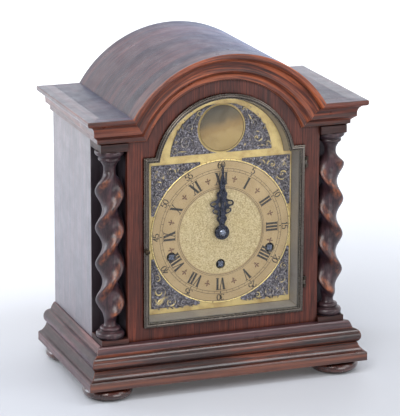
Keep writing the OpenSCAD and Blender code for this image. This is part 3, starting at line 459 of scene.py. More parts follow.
dress(wood("front_veneer", "z", ((30, 12, 9), (74, 32, 23), (118, 56, 38)), stripe=640.0, figure=70.0, contrast=1.1,
           rough=0.38, coat=0.0, broad=0.3, spec=0.35), "front_panel")
dress(wood("side_veneer", "z", ((52, 32, 31), (80, 54, 53), (112, 82, 78)), stripe=520.0, figure=40.0, contrast=1.5,
           rough=0.36, coat=0.78, haze=0.6, haze_tint=SKY, relief=0.0002, painted_front_shade=True),
      "side_panel_left", "side_panel_right")
dress(wood("roof_veneer", "roof", ((32, 14, 14), (62, 31, 29), (102, 56, 48)), **ROOF, figure=34.0, contrast=2.1,
           coat=0.0, haze=0.32, blotch=0.42), "vault_roof")
dress(wood("shoulder_wood", "y", TOP_TONES, **ROOF, figure=26.0, contrast=1.3, rough=0.36, coat=0.2, haze=0.26,
           blotch=0.75, joints=((0, 0.1278), (1, 0.065))), "shoulder_boards")
dress(wood("moulding_x", "x", ((36, 12, 8), (90, 37, 23), (156, 78, 46)), **MOULDING, stripe=360.0, figure=70.0,
           rough=0.32, coat=0.15), "cornice_fronts")
dress(wood("moulding_y", "y", ((40, 16, 12), (84, 40, 30), (132, 72, 50)), figure=70.0, contrast=1.5, rough=0.32,
           coat=0.5, haze=0.15, haze_tint=PALE_SKY, wear_and_highlight=0.6, pale_top=True), "cornice_sides")
dress(wood("moulding_arch", "arch", ((34, 11, 7), (94, 38, 22), (168, 86, 47)), **MOULDING, stripe=420.0,
           figure=80.0, coat=0.1, broad=0.28), "arch_moulding")
# The lower band is painted light that lifts the fascia from 10 to 22 mm; the upper band, from 46.5 to 56 mm, is
# greyer and more violet.
dress(wood("base_x", "x", ((18, 8, 8), (54, 24, 18), (118, 60, 38)), **BASE, contrast=2.1, coat=1.0, spec=0.3,
           hollow=0.02, haze=0.05, haze_tint=(0.8, 0.6, 0.85),
           bands=((10.0, 22.0, 0.75, (66, 34, 24), (122, 68, 46)), (46.5, 56.0, 0.75, (46, 30, 34), (84, 60, 64)))),
      "base_moulding_front")
# Both bands are painted light and shade: paler from 10 to 22 mm, near black in the cavetto from 22.5 to 31 mm.
dress(wood("base_y", "y", ((28, 11, 14), (62, 32, 34), (112, 68, 66)), **BASE, contrast=2.0, coat=0.42, spec=0.15,
           hollow=0.03, haze=0.1, haze_tint=(0.75, 0.5, 0.85),
           bands=((10.0, 22.0, 0.5, (76, 54, 52), (130, 102, 98)), (22.5, 31.0, 0.55, (24, 12, 14), (52, 30, 32)))),
      "base_moulding_sides")
dress(wood("dark_block", "x", ((22, 9, 8), (46, 23, 20), (84, 46, 38)), figure=60.0, contrast=1.4, rough=0.42,
           coat=0.0, wear_and_highlight=0.4, spec=0.35), "pedestal_blocks", "frieze_blocks")
# Painted shade: the corner posts in the recess behind the columns take near-black violet tones.
dress(wood("recess_wood", "z", ((26, 20, 26), (42, 33, 41), (58, 46, 54)), stripe=400.0, rough=0.65, coat=0.0,
           wear_and_highlight=0.15), "corner_posts")
dress(wood("back_wood", "z", ((60, 32, 19), (104, 62, 38), (146, 96, 62)), figure=40.0, contrast=1.5, rough=0.5,
           coat=0.12, wear_and_highlight=0.3), "back_frame", "rear_door")
dress(wood("carcass_wood", "x", ((76, 46, 26), (120, 79, 48), (158, 112, 74)), stripe=260.0, figure=40.0,
           contrast=1.4, rough=0.6, coat=0.05, wear_and_highlight=0.2), "base_board", "seat_board")
dress(wood("feet_wood", "x", ((28, 11, 9), (58, 25, 19), (96, 44, 31)), stripe=260.0, figure=50.0, contrast=1.5,
           rough=0.26, coat=0.8, wear_and_highlight=0.7), "bun_feet")

dress(metal("dial_brass", (210, 183, 123), (150, 112, 66), 0.36, 0.75, (900.0, 900.0, 120.0), metallic=0.55,
            grime=0.3), "dial_plate")
dress(ring_metal(), "chapter_ring")
dress(matt_gold(), "dial_centre")
relief_metal = dress(cast_metal(), "corner_spandrels", "arch_spandrels")
boss_brass = boss_metal()
rim_gold = metal("rim_gold", (232, 206, 142), (196, 162, 98), 0.26, 0.3, metallic=0.8, grime=0.2)
bezel_bronze = metal("bezel_bronze", (108, 101, 94), (66, 60, 55), 0.24, 0.5, (1200.0, 1200.0, 1200.0),
                     (200, 190, 170), grime=0.9)
sight_bronze = metal("sight_bronze", (176, 169, 163), (146, 139, 134), 0.4, 0.4, (1500.0, 1500.0, 1500.0),
                     (206, 190, 160), metallic=0.8, grime=0.7)
blued = dress(metal("blued", (50, 52, 66), (30, 29, 36), 0.26, 0.6, shine=(120, 124, 150), edge=0.0003),
              "hour_hand", "minute_hand")
dress(metal("nut_steel", (128, 132, 148), (70, 72, 84), 0.24, 0.4, edge=0.0003), "hand_nut")
dress(metal("knob_metal", (60, 52, 44), (34, 30, 28), 0.3, shine=(170, 150, 112)), "bezel_knob")
dress(metal("hinge_dark", (74, 66, 58), (44, 38, 34), 0.36, 0.7, grime=0.9), "bezel_hinges")
hinge_brass = dress(metal("hinge_brass", (180, 146, 84), (112, 84, 46), 0.34, 0.6),
                    "rear_door_leaves", "rear_frame_leaves", "rear_turn_button")
dress(metal("plate_brass", (212, 180, 108), (156, 122, 66), 0.3, 0.4, (120.0, 900.0, 900.0)),
      "front_plate", "back_plate", "balance_bridge")
wheel_brass = dress(metal("wheel_brass", (216, 184, 112), (160, 124, 66), 0.28, 0.35),
                    "time_barrel", "strike_barrel", "chime_barrel", "motion_wheel", "hour_wheel", "third_wheel",
                    "escape_wheel", "balance_wheel", "strike_pin_wheel", "chime_drum")
dress(metal("steel", (168, 168, 172), (104, 102, 104), 0.28, 0.4), "ratchet_clicks", "centre_arbor")
dress(metal("winder_steel", (112, 116, 132), (56, 56, 66), 0.24, 0.5, shine=(190, 196, 214)),
      "time_winder", "strike_winder", "chime_winder")
dress(metal("hammer_steel", (150, 150, 154), (92, 90, 92), 0.34, 0.5), "hammer_1", "hammer_2", "hammer_3", "hammer_4")
dress(metal("rod_bronze", (186, 142, 92), (118, 82, 50), 0.32, 0.5), "chime_rods")
dress(clear_glass(), "door_glass")

wax = wax_fill("black_wax", 0.45, (0.3, (26, 22, 24)), (0.58, (52, 44, 42)), (0.76, (112, 94, 74)))
faded_wax = wax_fill("faded_wax", 0.5, (0.3, (84, 50, 40)), (0.7, (124, 88, 66)))
column_wood = twist_material()


def soften(width, *names):
    """Softer edges on flat-cut CAD pieces."""
    for name in names:
        o = NODES[name]
        weld = o.modifiers.new("weld", "WELD")
        weld.merge_threshold = 0.00002
        bevel = o.modifiers.new("bevel", "BEVEL")
        bevel.width = width
        bevel.segments = 2
        bevel.limit_method = "ANGLE"
        bevel.angle_limit = radians(50)
        bevel.miter_outer = "MITER_ARC"
        bevel.use_clamp_overlap = True


soften(0.0005, "pedestal_blocks", "frieze_blocks", "side_panel_left", "side_panel_right", "shoulder_boards",
       "base_board", "seat_board")
soften(0.0002, "rear_turn_button", "balance_bridge", "rear_door_leaves", "rear_frame_leaves")


# Mesh helpers
def turns(n):
    """The angles of n even steps of a full turn."""
    return [2 * pi * k / n for k in range(n)]


def arc(cx, cy, rx, ry, a0, a1, steps):
    """Points of an ellipse from an angle to another, in degrees."""
    angles = [radians(a0 + (a1 - a0) * i / steps) for i in range(steps + 1)]
    return [(cx + rx * cos(a), cy + ry * sin(a)) for a in angles]


def circle(cx, cy, r, n):
    return [(cx + r * cos(a), cy + r * sin(a)) for a in turns(n)]


def skin_faces(count, n, joined=False):
    """Faces between rings of n points, with the last ring joined to the first where asked."""
    return [(r * n + k, r * n + (k + 1) % n, (r + 1) % count * n + (k + 1) % n, (r + 1) % count * n + k)
            for r in range(count if joined else count - 1) for k in range(n)]


def linked(name, data):
    o = bpy.data.objects.new(name, data)
    bpy.context.scene.collection.objects.link(o)
    return o


def face_outwards(mesh, weld=None):
    bm = bmesh.new()
    bm.from_mesh(mesh)
    if weld:
        bmesh.ops.remove_doubles(bm, verts=bm.verts, dist=weld)
    bmesh.ops.recalc_face_normals(bm, faces=bm.faces)
    bm.to_mesh(mesh)
    bm.free()


def add_piece(name, mesh, material, body):
    mesh.materials.append(material)
    o = linked(name, mesh)
    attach(o, body)
    return o


class Shape:
    """Points and faces gathered into one mesh, in millimetres."""

    def __init__(self):
        self.verts, self.faces = [], []

    def add(self, verts, faces):
        n = len(self.verts)
        self.verts += verts
        self.faces += [tuple(i + n for i in f) for f in faces]

    def prism(self, outline, y0, y1):
        """A flat convex plate with an outline in X and Z, from y0 at the front to y1."""
        n = len(outline)
        self.add([(x, y0, z) for x, z in outline] + [(x, y1, z) for x, z in outline],
                 [tuple(range(n)), tuple(range(2 * n - 1, n - 1, -1))]
                 + [(i, i + n, (i + 1) % n + n, (i + 1) % n) for i in range(n)])

    def tube(self, rings):
        """Skin over rings of equally many points, with both ends closed."""
        n, count = len(rings[0]), len(rings)
        ends = [tuple(range(n - 1, -1, -1)), tuple((count - 1) * n + k for k in range(n))]
        self.add([p for ring in rings for p in ring], skin_faces(count, n) + ends)

    def hoop(self, rings):
        """Skin over rings of equally many points, the last joined to the first."""
        self.add([p for ring in rings for p in ring], skin_faces(len(rings), len(rings[0]), True))

    def lathe(self, centre, profile, sides):
        """Turned about a line along Y through centre (x, z). The profile is (radius, y), radius 0 at both ends."""
        cx, cz = centre
        rings = [[(x, y, z) for x, z in circle(cx, cz, r, sides)] for r, y in profile[1:-1]]
        first = len(rings) * sides
        faces = skin_faces(len(rings), sides)
        for tip, row in ((first, 0), (first + 1, first - sides)):
            faces += [(tip, row + k, row + (k + 1) % sides) for k in range(sides)]
        self.add([p for ring in rings for p in ring] + [(cx, profile[0][1], cz), (cx, profile[-1][1], cz)], faces)

    def ring(self, centre, profile, sides=40):
        """A closed profile of (radius, y) turned about a line along Y through centre (x, z)."""
        cx, cz = centre
        self.hoop([[(cx + r * cos(a), y, cz + r * sin(a)) for r, y in profile] for a in turns(sides)])

    def screw(self, x, z, y, r, turn):
        """Slotted screw head on a face at y that looks backwards, with its slot turned by an angle."""
        floor, top = y + 0.3 * r, y + 0.62 * r
        self.lathe((x, z), [(0.0, y - 0.1), (r, y - 0.1), (r, floor), (0.0, floor)], 32)
        for side in (turn, turn + 180.0):
            c, s = cos(radians(side)), sin(radians(side))
            rings = []
            for reach, at in ((0.985, floor - 0.05), (0.98, y + 0.46 * r), (0.86, y + 0.58 * r), (0.72, top)):
                half = [(u, max(0.15 * r, v)) for u, v in arc(0, 0, reach * r, reach * r, 9, 171, 16)]
                rings.append([(x + u * c - v * s, at, z + u * s + v * c) for u, v in half])
            self.tube(rings)

    def make(self, name, material, body, slot, smooth=True):
        mesh = bpy.data.meshes.new(name)
        mesh.from_pydata([tuple(c * MM for c in v) for v in self.verts], [], self.faces)
        face_outwards(mesh)
        mesh.polygons.foreach_set("use_smooth", [smooth] * len(mesh.polygons))
        if smooth:
            mesh.set_sharp_from_angle(angle=radians(38))
        return add_piece(name, mesh, material, body)


# Floor, backdrop and lights, in metres
FLOOR_SIDES = 72
FLOOR_EDGE, BACKDROP_BEND, BACKDROP_HIGH = 5.5, 1.5, 5.5


def stage():
    t = Tree("pale_floor")
    parts = t.split(t.place)
    # Painted light and shade: the floor is darker in front and lighter towards the back and up the backdrop, and
    # glows more there.
    far = t.plus(t.times(parts[1], 0.55), parts[2])
    colour = t.ramp(far, (0.0, (193, 196, 203)), (0.30, (233, 236, 242)), (0.62, (252, 252, 253)))
    t.shader(Base_Color=colour, Roughness=0.55, Emission_Color=(1.0, 1.0, 1.0, 1.0),
             Emission_Strength=t.ramp(far, (0.0, 0.06), (0.62, 0.42)))
    profile = [(r, 0.0) for r in (0.5, 1.5, 3.5, FLOOR_EDGE)]
    profile += arc(FLOOR_EDGE, BACKDROP_BEND, BACKDROP_BEND, BACKDROP_BEND, -82.5, 0, 11)
    profile.append((FLOOR_EDGE + BACKDROP_BEND, BACKDROP_HIGH))
    verts = [(x, y, z) for r, z in profile for x, y in circle(0, 0, r, FLOOR_SIDES)]
    middle = len(verts)
    faces = [(middle, k, (k + 1) % FLOOR_SIDES) for k in range(FLOOR_SIDES)]
    faces += [(a, d, c, b) for a, b, c, d in skin_faces(len(profile), FLOOR_SIDES)]
    mesh = bpy.data.meshes.new("floor")
    mesh.from_pydata(verts + [(0.0, 0.0, 0.0)], [], faces)
    mesh.polygons.foreach_set("use_smooth", [True] * len(faces))
    mesh.materials.append(t.mat)
    linked("floor", mesh)


def softbox(name, where, width, height, power, colour=(1.0, 1.0, 1.0), aim_z=0.15):
    """Soft light that aims at a height on the clock's axis and isn't seen itself."""
    light = bpy.data.lights.new(name, "AREA")
    light.shape = "RECTANGLE"
    light.size, light.size_y = width, height
    light.energy = power
    light.color = colour
    o = linked(name, light)
    o.location = where
    o.rotation_mode = "QUATERNION"
    o.rotation_quaternion = (Vector((0.0, 0.0, aim_z)) - Vector(where)).to_track_quat("-Z", "Y")
    o.visible_camera = False


stage()
bpy.context.scene.view_settings.view_transform = "Standard"
world = bpy.data.worlds.new("studio")
bpy.context.scene.world = world
world.use_nodes = True
background = world.node_tree.nodes["Background"]
background.inputs[0].default_value = (0.90, 0.94, 1.0, 1.0)
background.inputs[1].default_value = 0.28
softbox("key", (-1.3, -1.7, 1.7), 1.1, 1.1, 33.0, (1.0, 0.98, 0.96))
softbox("fill", (1.9, -1.5, 1.0), 1.2, 1.4, 12.0)
softbox("low_fill", (0.7, -1.8, 0.03), 1.2, 0.5, 9.0, aim_z=0.17)
softbox("top", (0.0, -0.8, 2.0), 2.6, 0.45, 23.0, (0.95, 0.97, 1.0), 0.2)
softbox("back", (-0.9, 2.3, 1.2), 3.4, 1.6, 5.0, (0.9, 0.94, 1.0), 0.2)
softbox("back_left", (-2.0, 1.4, 1.1), 1.0, 1.5, 24.0, (0.84, 0.89, 1.0))


# Twisted columns
COLUMN_R, NECK_R = 14.2, 5.8
COLUMN_FOOT = 7.0
COLUMN_LOW, COLUMN_HIGH = 58.5, 248.2
COLUMN_X, COLUMN_Y = 115.8, -55.3
PITCH = 73.3
TWIST_TURN, TWIST_LEVEL = radians(-110), 188
STRAND_WAIST = 7.6
TWIST_LOW, TWIST_HIGH = 15.0, 19.5
COLUMN_STEPS, COLUMN_SIDES = 300, 96


def ease(t):
    u = min(1.0, max(0.0, t))
    return u * u * (3 - 2 * u)


def column_rows():
    """Radius of the neck, height, and how much of the twist there is, from the foot up."""
    length = COLUMN_HIGH - COLUMN_LOW
    foot = [(COLUMN_R - 1.2, 0.0), (COLUMN_R - 0.3, 0.5)]
    foot += arc(COLUMN_R - 3, COLUMN_FOOT / 2, 3, COLUMN_FOOT / 2, -60, 60, 12)
    foot += [(10.2, COLUMN_FOOT), (9.9, COLUMN_FOOT + 0.3)]
    foot += arc(8, COLUMN_FOOT + 2.4, 2.2, 2.2, -50, 50, 10)
    foot += [(8.2, 11.7), (6.9, 12.2), (6.2, 13.2), (NECK_R, 14.6)]
    head = [(COLUMN_R - 0.3, 0.0), (COLUMN_R, 0.4), (COLUMN_R, 2.8), (13.9, 3.6), (13.2, 4.4), (12.0, 5.2),
            (11.0, 6.2), (10.5, 7.0), (10.9, 7.6), (11.0, 8.4), (10.9, 9.2), (10.3, 10.0), (9.0, 10.5), (8.5, 10.9),
            (8.3, 12.0), (7.4, 13.6), (6.4, 15.4), (5.9, 17.5)]
    rows = [(r, h, 0.0) for r, h in foot]
    for i in range(1, COLUMN_STEPS):
        h = COLUMN_FOOT + 8 + (length - 18 - COLUMN_FOOT - 8) * i / COLUMN_STEPS
        rows.append((NECK_R, h, ease((h - TWIST_LOW) / 14) * ease((length - TWIST_HIGH - h) / 13)))
    return rows + [(r, length - h, 0.0) for r, h in reversed(head)]


def column(name, sign, node):
    rings, ridge = [], []
    for neck, h, share in column_rows():
        z = h + COLUMN_LOW
        ring = []
        for a in turns(COLUMN_SIDES):
            lobe = abs(cos(a - TWIST_TURN - 2 * pi * (z - TWIST_LEVEL) / PITCH))
            strand = COLUMN_R / sqrt(lobe * lobe + (1 - lobe * lobe) * (COLUMN_R / STRAND_WAIST) ** 2)
            r = neck + (strand - neck) * share
            ring.append((sign * (r * cos(a) - COLUMN_X), r * sin(a) + COLUMN_Y, z))
            ridge.append(share * lobe ** 2)
        rings.append(ring)
    shape = Shape()
    shape.tube(rings)
    o = shape.make(name, column_wood, "case", "twist_wood")
    o.data.attributes.new("ridge", "FLOAT", "POINT").data.foreach_set("value", ridge)
    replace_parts(o, node)


column("twist_column_left", 1, "column_left")
column("twist_column_right", -1, "column_right")


# Dial figures: strokes as thin prisms filled with wax
Y_INK, Y_INK_BACK = Y_RING - 0.04, Y_RING + 0.3
ROMAN = ("XII", "I", "II", "III", "IIII", "V", "VI", "VII", "VIII", "IX", "X", "XI")
ROMAN_LOW, ROMAN_HIGH = 47.9, 60.4
SERIF = 0.6
# Width, strokes as (foot, head, width of foot, width of head) and serifs as (place, width, ends that have one)
LETTERS = {
    "I": (3.3, ((0.0, 0.0, 2.2, 2.2),), ((0.0, 3.5, (-1, 1)),)),
    "V": (6.6, ((-0.15, -2.1, 1.7, 2.5), (-0.1, 2.3, 0.75, 0.85)), ((-2.1, 3.3, (1,)), (2.3, 3.3, (1,)))),
    "X": (6.8, ((2.1, -2.1, 2.5, 2.5), (-2.2, 2.2, 0.85, 0.85)), ((-2.2, 3.2, (-1, 1)), (2.2, 3.2, (-1, 1)))),
}
MINUTE_R, MINUTE_SIZE, MINUTE_STEP = 68.1, 5.9, 3.8
PEN_THICK, PEN_THIN = 1.1, 0.48
TRACK_R = 63.1
MARK_R = 53.6


def turned(points, r, angle):
    """Points (tangential, radial) about radius r at an angle clockwise from twelve, as X and Z."""
    a = radians(angle)
    c, s = cos(a), sin(a)
    return [((u * c + (v + r) * s), DIAL_Z + (-u * s + (v + r) * c)) for u, v in points]


def inked(shape, outline, r, angle):
    shape.prism(turned(outline, r, angle), Y_INK, Y_INK_BACK)


def stroke(shape, a, b, wa, wb, r, angle):
    """Bar from a to b, its ends wa and wb wide and cut level."""
    (ax, ay), (bx, by) = a, b
    inked(shape, [(ax - wa / 2, ay), (ax + wa / 2, ay), (bx + wb / 2, by), (bx - wb / 2, by)], r, angle)


def level_bar(shape, x, y, width, height, r, angle):
    stroke(shape, (x, y - height / 2), (x, y + height / 2), width, width, r, angle)


def roman(shape, text, angle):
    half, mid = (ROMAN_HIGH - ROMAN_LOW) / 2, (ROMAN_HIGH + ROMAN_LOW) / 2
    x = -sum(LETTERS[c][0] for c in text) / 2
    for width, strokes, serifs in (LETTERS[c] for c in text):
        m = x + width / 2
        for low, high, low_width, high_width in strokes:
            stroke(shape, (m + low, -half), (m + high, half), low_width, high_width, mid, angle)
        for at, bar, ends in serifs:
            for end in ends:
                level_bar(shape, m + at, end * (half - SERIF / 2), bar, SERIF, mid, angle)
        x += width


def pen(shape, points, angle):
    """Line of changing width, thick where it runs up and down, drawn from short prisms."""
    pts = [(x * MINUTE_SIZE, y * MINUTE_SIZE) for x, y in points]
    for a, b in zip(pts, pts[1:]):
        dx, dy = b[0] - a[0], b[1] - a[1]
        far = hypot(dx, dy) or 1.0
        w = PEN_THIN + (PEN_THICK - PEN_THIN) * abs(dy / far) ** 1.5
        nx, ny = -dy / far * w / 2, dx / far * w / 2
        ex, ey = dx / far * w * 0.25, dy / far * w * 0.25
        inked(shape, [(a[0] - nx - ex, a[1] - ny - ey), (b[0] - nx + ex, b[1] - ny + ey),
                      (b[0] + nx + ex, b[1] + ny + ey), (a[0] + nx - ex, a[1] + ny - ey)], MINUTE_R, angle)


DIGITS = {
    "0": [arc(0, 0, 0.30, 0.5, 90, 450, 20)],
    "1": [[(-0.16, 0.30), (0.02, 0.5), (0.02, -0.5)], [(-0.16, -0.5), (0.2, -0.5)]],
    "2": [arc(0, 0.22, 0.28, 0.28, 165, -30, 12) + [(-0.30, -0.5), (0.32, -0.5), (0.34, -0.36)]],
    "3": [arc(-0.02, 0.26, 0.25, 0.24, 150, -90, 12) + arc(-0.02, -0.24, 0.30, 0.26, 90, -150, 14)],
    "4": [[(0.12, -0.5), (0.12, 0.5), (-0.32, -0.2), (0.32, -0.2)]],
    "5": [[(0.26, 0.5), (-0.2, 0.5), (-0.24, 0.06)] + arc(-0.02, -0.18, 0.29, 0.32, 130, -150, 14)],
    "6": [arc(0, -0.2, 0.28, 0.30, 60, 420, 18), arc(0.16, -0.12, 0.44, 0.62, 180, 95, 10)],
}


def arabic(shape, text, angle):
    for i, c in enumerate(text):
        shift = (i - (len(text) - 1) / 2) * MINUTE_STEP / MINUTE_SIZE
        for line in DIGITS[c]:
            pen(shape, [(x + shift, y) for x, y in line], angle)


def fleur(shape, angle):
    """Half-hour mark: three leaves on a short stem."""
    for turn, length in ((0, 4.0), (62, 3.4), (-62, 3.4), (180, 3.2)):
        a = radians(turn)
        side = [(s * length, w) for s, w in ((0.0, 0.2), (0.35, 0.6), (0.7, 0.75), (1.0, 0.1))]
        outline = side + [(d, -w) for d, w in reversed(side)]
        inked(shape, [(d * sin(a) + w * cos(a), d * cos(a) - w * sin(a)) for d, w in outline],
              MARK_R, angle)
    level_bar(shape, 0.0, -1.2, 3.2, 0.5, MARK_R, angle)


def dial_figures():
    hours, minutes, track, marks = Shape(), Shape(), Shape(), Shape()
    for i, text in enumerate(ROMAN):
        roman(hours, text, 30 * i)
        arabic(minutes, str(5 * i or 60), 30 * i)
        fleur(marks, 30 * i + 15)
    for r, w in ((44.4, 0.4), (45.8, 0.3), (61.7, 0.36), (64.3, 0.36), (71.8, 0.4)):
        a, b = r - w / 2, r + w / 2
        track.ring((0.0, DIAL_Z), [(a, Y_INK), (b, Y_INK), (b, Y_INK_BACK), (a, Y_INK_BACK)], 180)
    for k in range(60):
        width = 0.3 if k % 5 else 0.8
        stroke(track, (0, -1.2), (0, 1.2), width, width, TRACK_R, 6 * k)
    hours.make("hour_numerals", wax, "case", "ring_brass", False)
    minutes.make("minute_numerals", wax, "case", "ring_brass", False)
    track.make("minute_track", wax, "case", "ring_brass", False)
    marks.make("half_hour_marks", faded_wax, "case", "ring_brass", False)


dial_figures()


# Relief on the spandrels
SPANDREL_FACE = Y_DIAL - 0.8
ROOT = 0.25
SMALL_BEAD = 0.62


def spiral(cx, cy, r0, r1, a0, a1, steps):
    pts = []
    for t in [i / steps for i in range(steps + 1)]:
        r, a = r0 + (r1 - r0) * t, radians(a0 + (a1 - a0) * t)
        pts.append((cx + r * cos(a), cy + r * sin(a)))
    return pts


def bent(a, b, bow, steps=14):
    """Curve from a to b that bows sideways by bow."""
    dx, dy = b[0] - a[0], b[1] - a[1]
    far = hypot(dx, dy)
    nx, ny = -dy / far, dx / far
    return [(a[0] + dx * t + nx * bow * sin(pi * t), a[1] + dy * t + ny * bow * sin(pi * t))
            for t in [i / steps for i in range(steps + 1)]]


def along(pts):
    """Each point of a line with the direction across it and its share of the way."""
    n = len(pts)
    for i, (x, y) in enumerate(pts):
        (ax, ay), (bx, by) = pts[max(0, i - 1)], pts[min(n - 1, i + 1)]
        far = hypot(bx - ax, by - ay)
        yield x, y, -(by - ay) / far, (bx - ax) / far, i / (n - 1)


class Relief(Shape):
    """Cast leaves and scrolls. place turns a point of the plan and its height into a point of the model."""

    def __init__(self, place):
        super().__init__()
        self.place = place

    def line(self, pts, width, height):
        """Rounded raised line that tapers at both ends."""
        rings = []
        for x, y, nx, ny, t in along(pts):
            grow = min(1.0, 0.25 + 0.75 * min(1.0, t / 0.35)) * min(1.0, 0.15 + 0.85 * min(1.0, (1 - t) / 0.45))
            w, h = width / 2 * grow, height * (0.45 + 0.55 * grow)
            section = arc(0, 0, w, h, 0, 180, 5) + [(-0.98 * w, -ROOT), (0.98 * w, -ROOT)]
            rings.append([self.place(x + nx * u, y + ny * u, v) for u, v in section])
        self.tube(rings)

    def bead(self, x, y, r):
        levels = [(r, -ROOT)] + [(r * cos(e), 0.8 * r * sin(e)) for e in (0.0, 0.45, 0.8, 1.1, 1.35)]
        self.tube([[self.place(u, v, h) for u, v in circle(x, y, reach, 10)] for reach, h in levels])

    def leaf(self, a, b, width, height, bow=0.0):
        """Pointed leaf with a raised spine from a to b."""
        rings = []
        for x, y, nx, ny, t in along(bent(a, b, bow, 10)):
            w = width / 2 * max(0.04, sin(pi * min(1.0, 0.12 + 0.88 * t) ** 0.8))
            h = height * max(0.15, sin(pi * (0.15 + 0.8 * t)))
            rings.append([self.place(x + nx * w * u, y + ny * w * u, h * v)
                          for u, v in ((1.0, 0.0), (0.62, 0.55), (0.2, 0.5), (0.0, 1.0), (-0.2, 0.5), (-0.62, 0.55),
                                       (-1.0, 0.0), (-0.98, -0.3), (0.98, -0.3))])
        self.tube(rings)

    def leaflet(self, x, y, angle, length, width, height):
        """Small pointed leaf lying on the ground, pointing along an angle in degrees."""
        c, s = cos(radians(angle)), sin(radians(angle))
        section = ((1.0, 0.0), (0.5, 0.8), (0.0, 1.0), (-0.5, 0.8), (-1.0, 0.0), (-0.9, -0.1), (0.9, -0.1))
        rings = []
        for t, w, h in ((0.0, 0.25, 0.4), (0.25, 0.9, 0.9), (0.55, 1.0, 1.0), (0.85, 0.5, 0.7), (1.0, 0.08, 0.2)):
            u, half = (t - 0.5) * length, w * width / 2
            rings.append([self.place(x + u * c - v * half * s, y + u * s + v * half * c, k * h * height - 0.1)
                          for v, k in section])
        self.tube(rings)

    def foliage(self, seed, x0, x1, y0, y1, inside, step=2.3):
        """Leaflets turned this way and that over the part of a rectangle that inside() accepts."""
        pick = random.Random(seed)
        for j in range(int((y1 - y0) / step) + 1):
            for i in range(int((x1 - x0) / step) + 1):
                x = x0 + (i + 0.5 * (j % 2)) * step + pick.uniform(-0.5, 0.5)
                y = y0 + j * step + pick.uniform(-0.5, 0.5)
                turn, length, height = pick.uniform(0, 360), pick.uniform(2.0, 3.2), pick.uniform(0.45, 0.85)
                if inside(x, y):
                    self.leaflet(x, y, turn, length, 1.2, height)

    def scroll(self, spiral_of, width, height, bead):
        """Spiral line with a bead in its eye."""
        self.line(spiral(*spiral_of), width, height)
        if bead:
            self.bead(spiral_of[0], spiral_of[1], bead)

    def beads(self, *places):
        for x, y in places:
            self.bead(x, y, SMALL_BEAD)


def corner_relief(name, sx, sz, edge_z, edge_x=72.8):
    """Scrolling leaves in one corner. The plan runs from the outer corner: p along the top edge, q down the side."""
    def straight(p, q, h):
        return (sx * (edge_x - p), SPANDREL_FACE - h, DIAL_Z + sz * (edge_z - q))

    def swapped(p, q, h):
        return straight(q, p, h)

    def on_plate(p, q):
        x, z = edge_x - p, edge_z - q
        return min(p, q) > 1.2 and min(x, z) > 23.6 and hypot(x, z) > 75.2
    cast = Relief(straight)
    cast.foliage(11 + 3 * sx + sz, 1.2, 50.0, 1.2, 52.0, on_plate)
    cast.leaf((3.2, 3.2), (17.5, 17.5), 6.4, 1.7)
    cast.bead(19.2, 19.2, 1.25)
    cast.bead(3.0, 3.0, 1.1)
    for cast.place in (straight, swapped):
        cast.scroll((8.2, 19.6, 6.8, 0.9, -60, 470, 40), 2.0, 1.5, 1.3)
        cast.leaf((7.5, 6.5), (14.6, 8.6), 3.6, 1.3, 1.0)
        cast.leaf((5.5, 7.0), (2.2, 13.4), 3.0, 1.2, -0.8)
        cast.leaf((12.6, 13.2), (17.6, 12.0), 2.8, 1.2, 0.8)
        cast.leaf((14.4, 20.5), (17.2, 24.8), 2.6, 1.1, 0.7)
        cast.line(bent((9.0, 26.5), (3.2, 34.0), 2.6), 1.7, 1.3)
        cast.scroll((5.6, 33.4, 3.9, 0.6, 120, -330, 30), 1.5, 1.3, 0.9)
        cast.leaf((10.6, 27.0), (11.8, 32.6), 2.6, 1.1, -0.7)
        cast.leaf((2.0, 24.6), (2.2, 30.4), 2.2, 1.1, 0.5)
        cast.leaf((8.2, 36.4), (6.6, 41.0), 2.2, 1.0, 0.4)
        cast.scroll((3.0, 41.2, 2.1, 0.4, 100, 460, 22), 1.1, 1.0, None)
        cast.leaf((3.6, 44.0), (1.6, 49.0), 1.8, 0.9, 0.3)
        cast.beads((12.8, 16.9), (4.2, 12.2), (12.2, 23.4), (2.0, 20.6), (9.6, 30.2), (4.6, 38.2), (10.4, 11.4))
    cast.make(name, relief_metal, "case", "cast_spandrel")


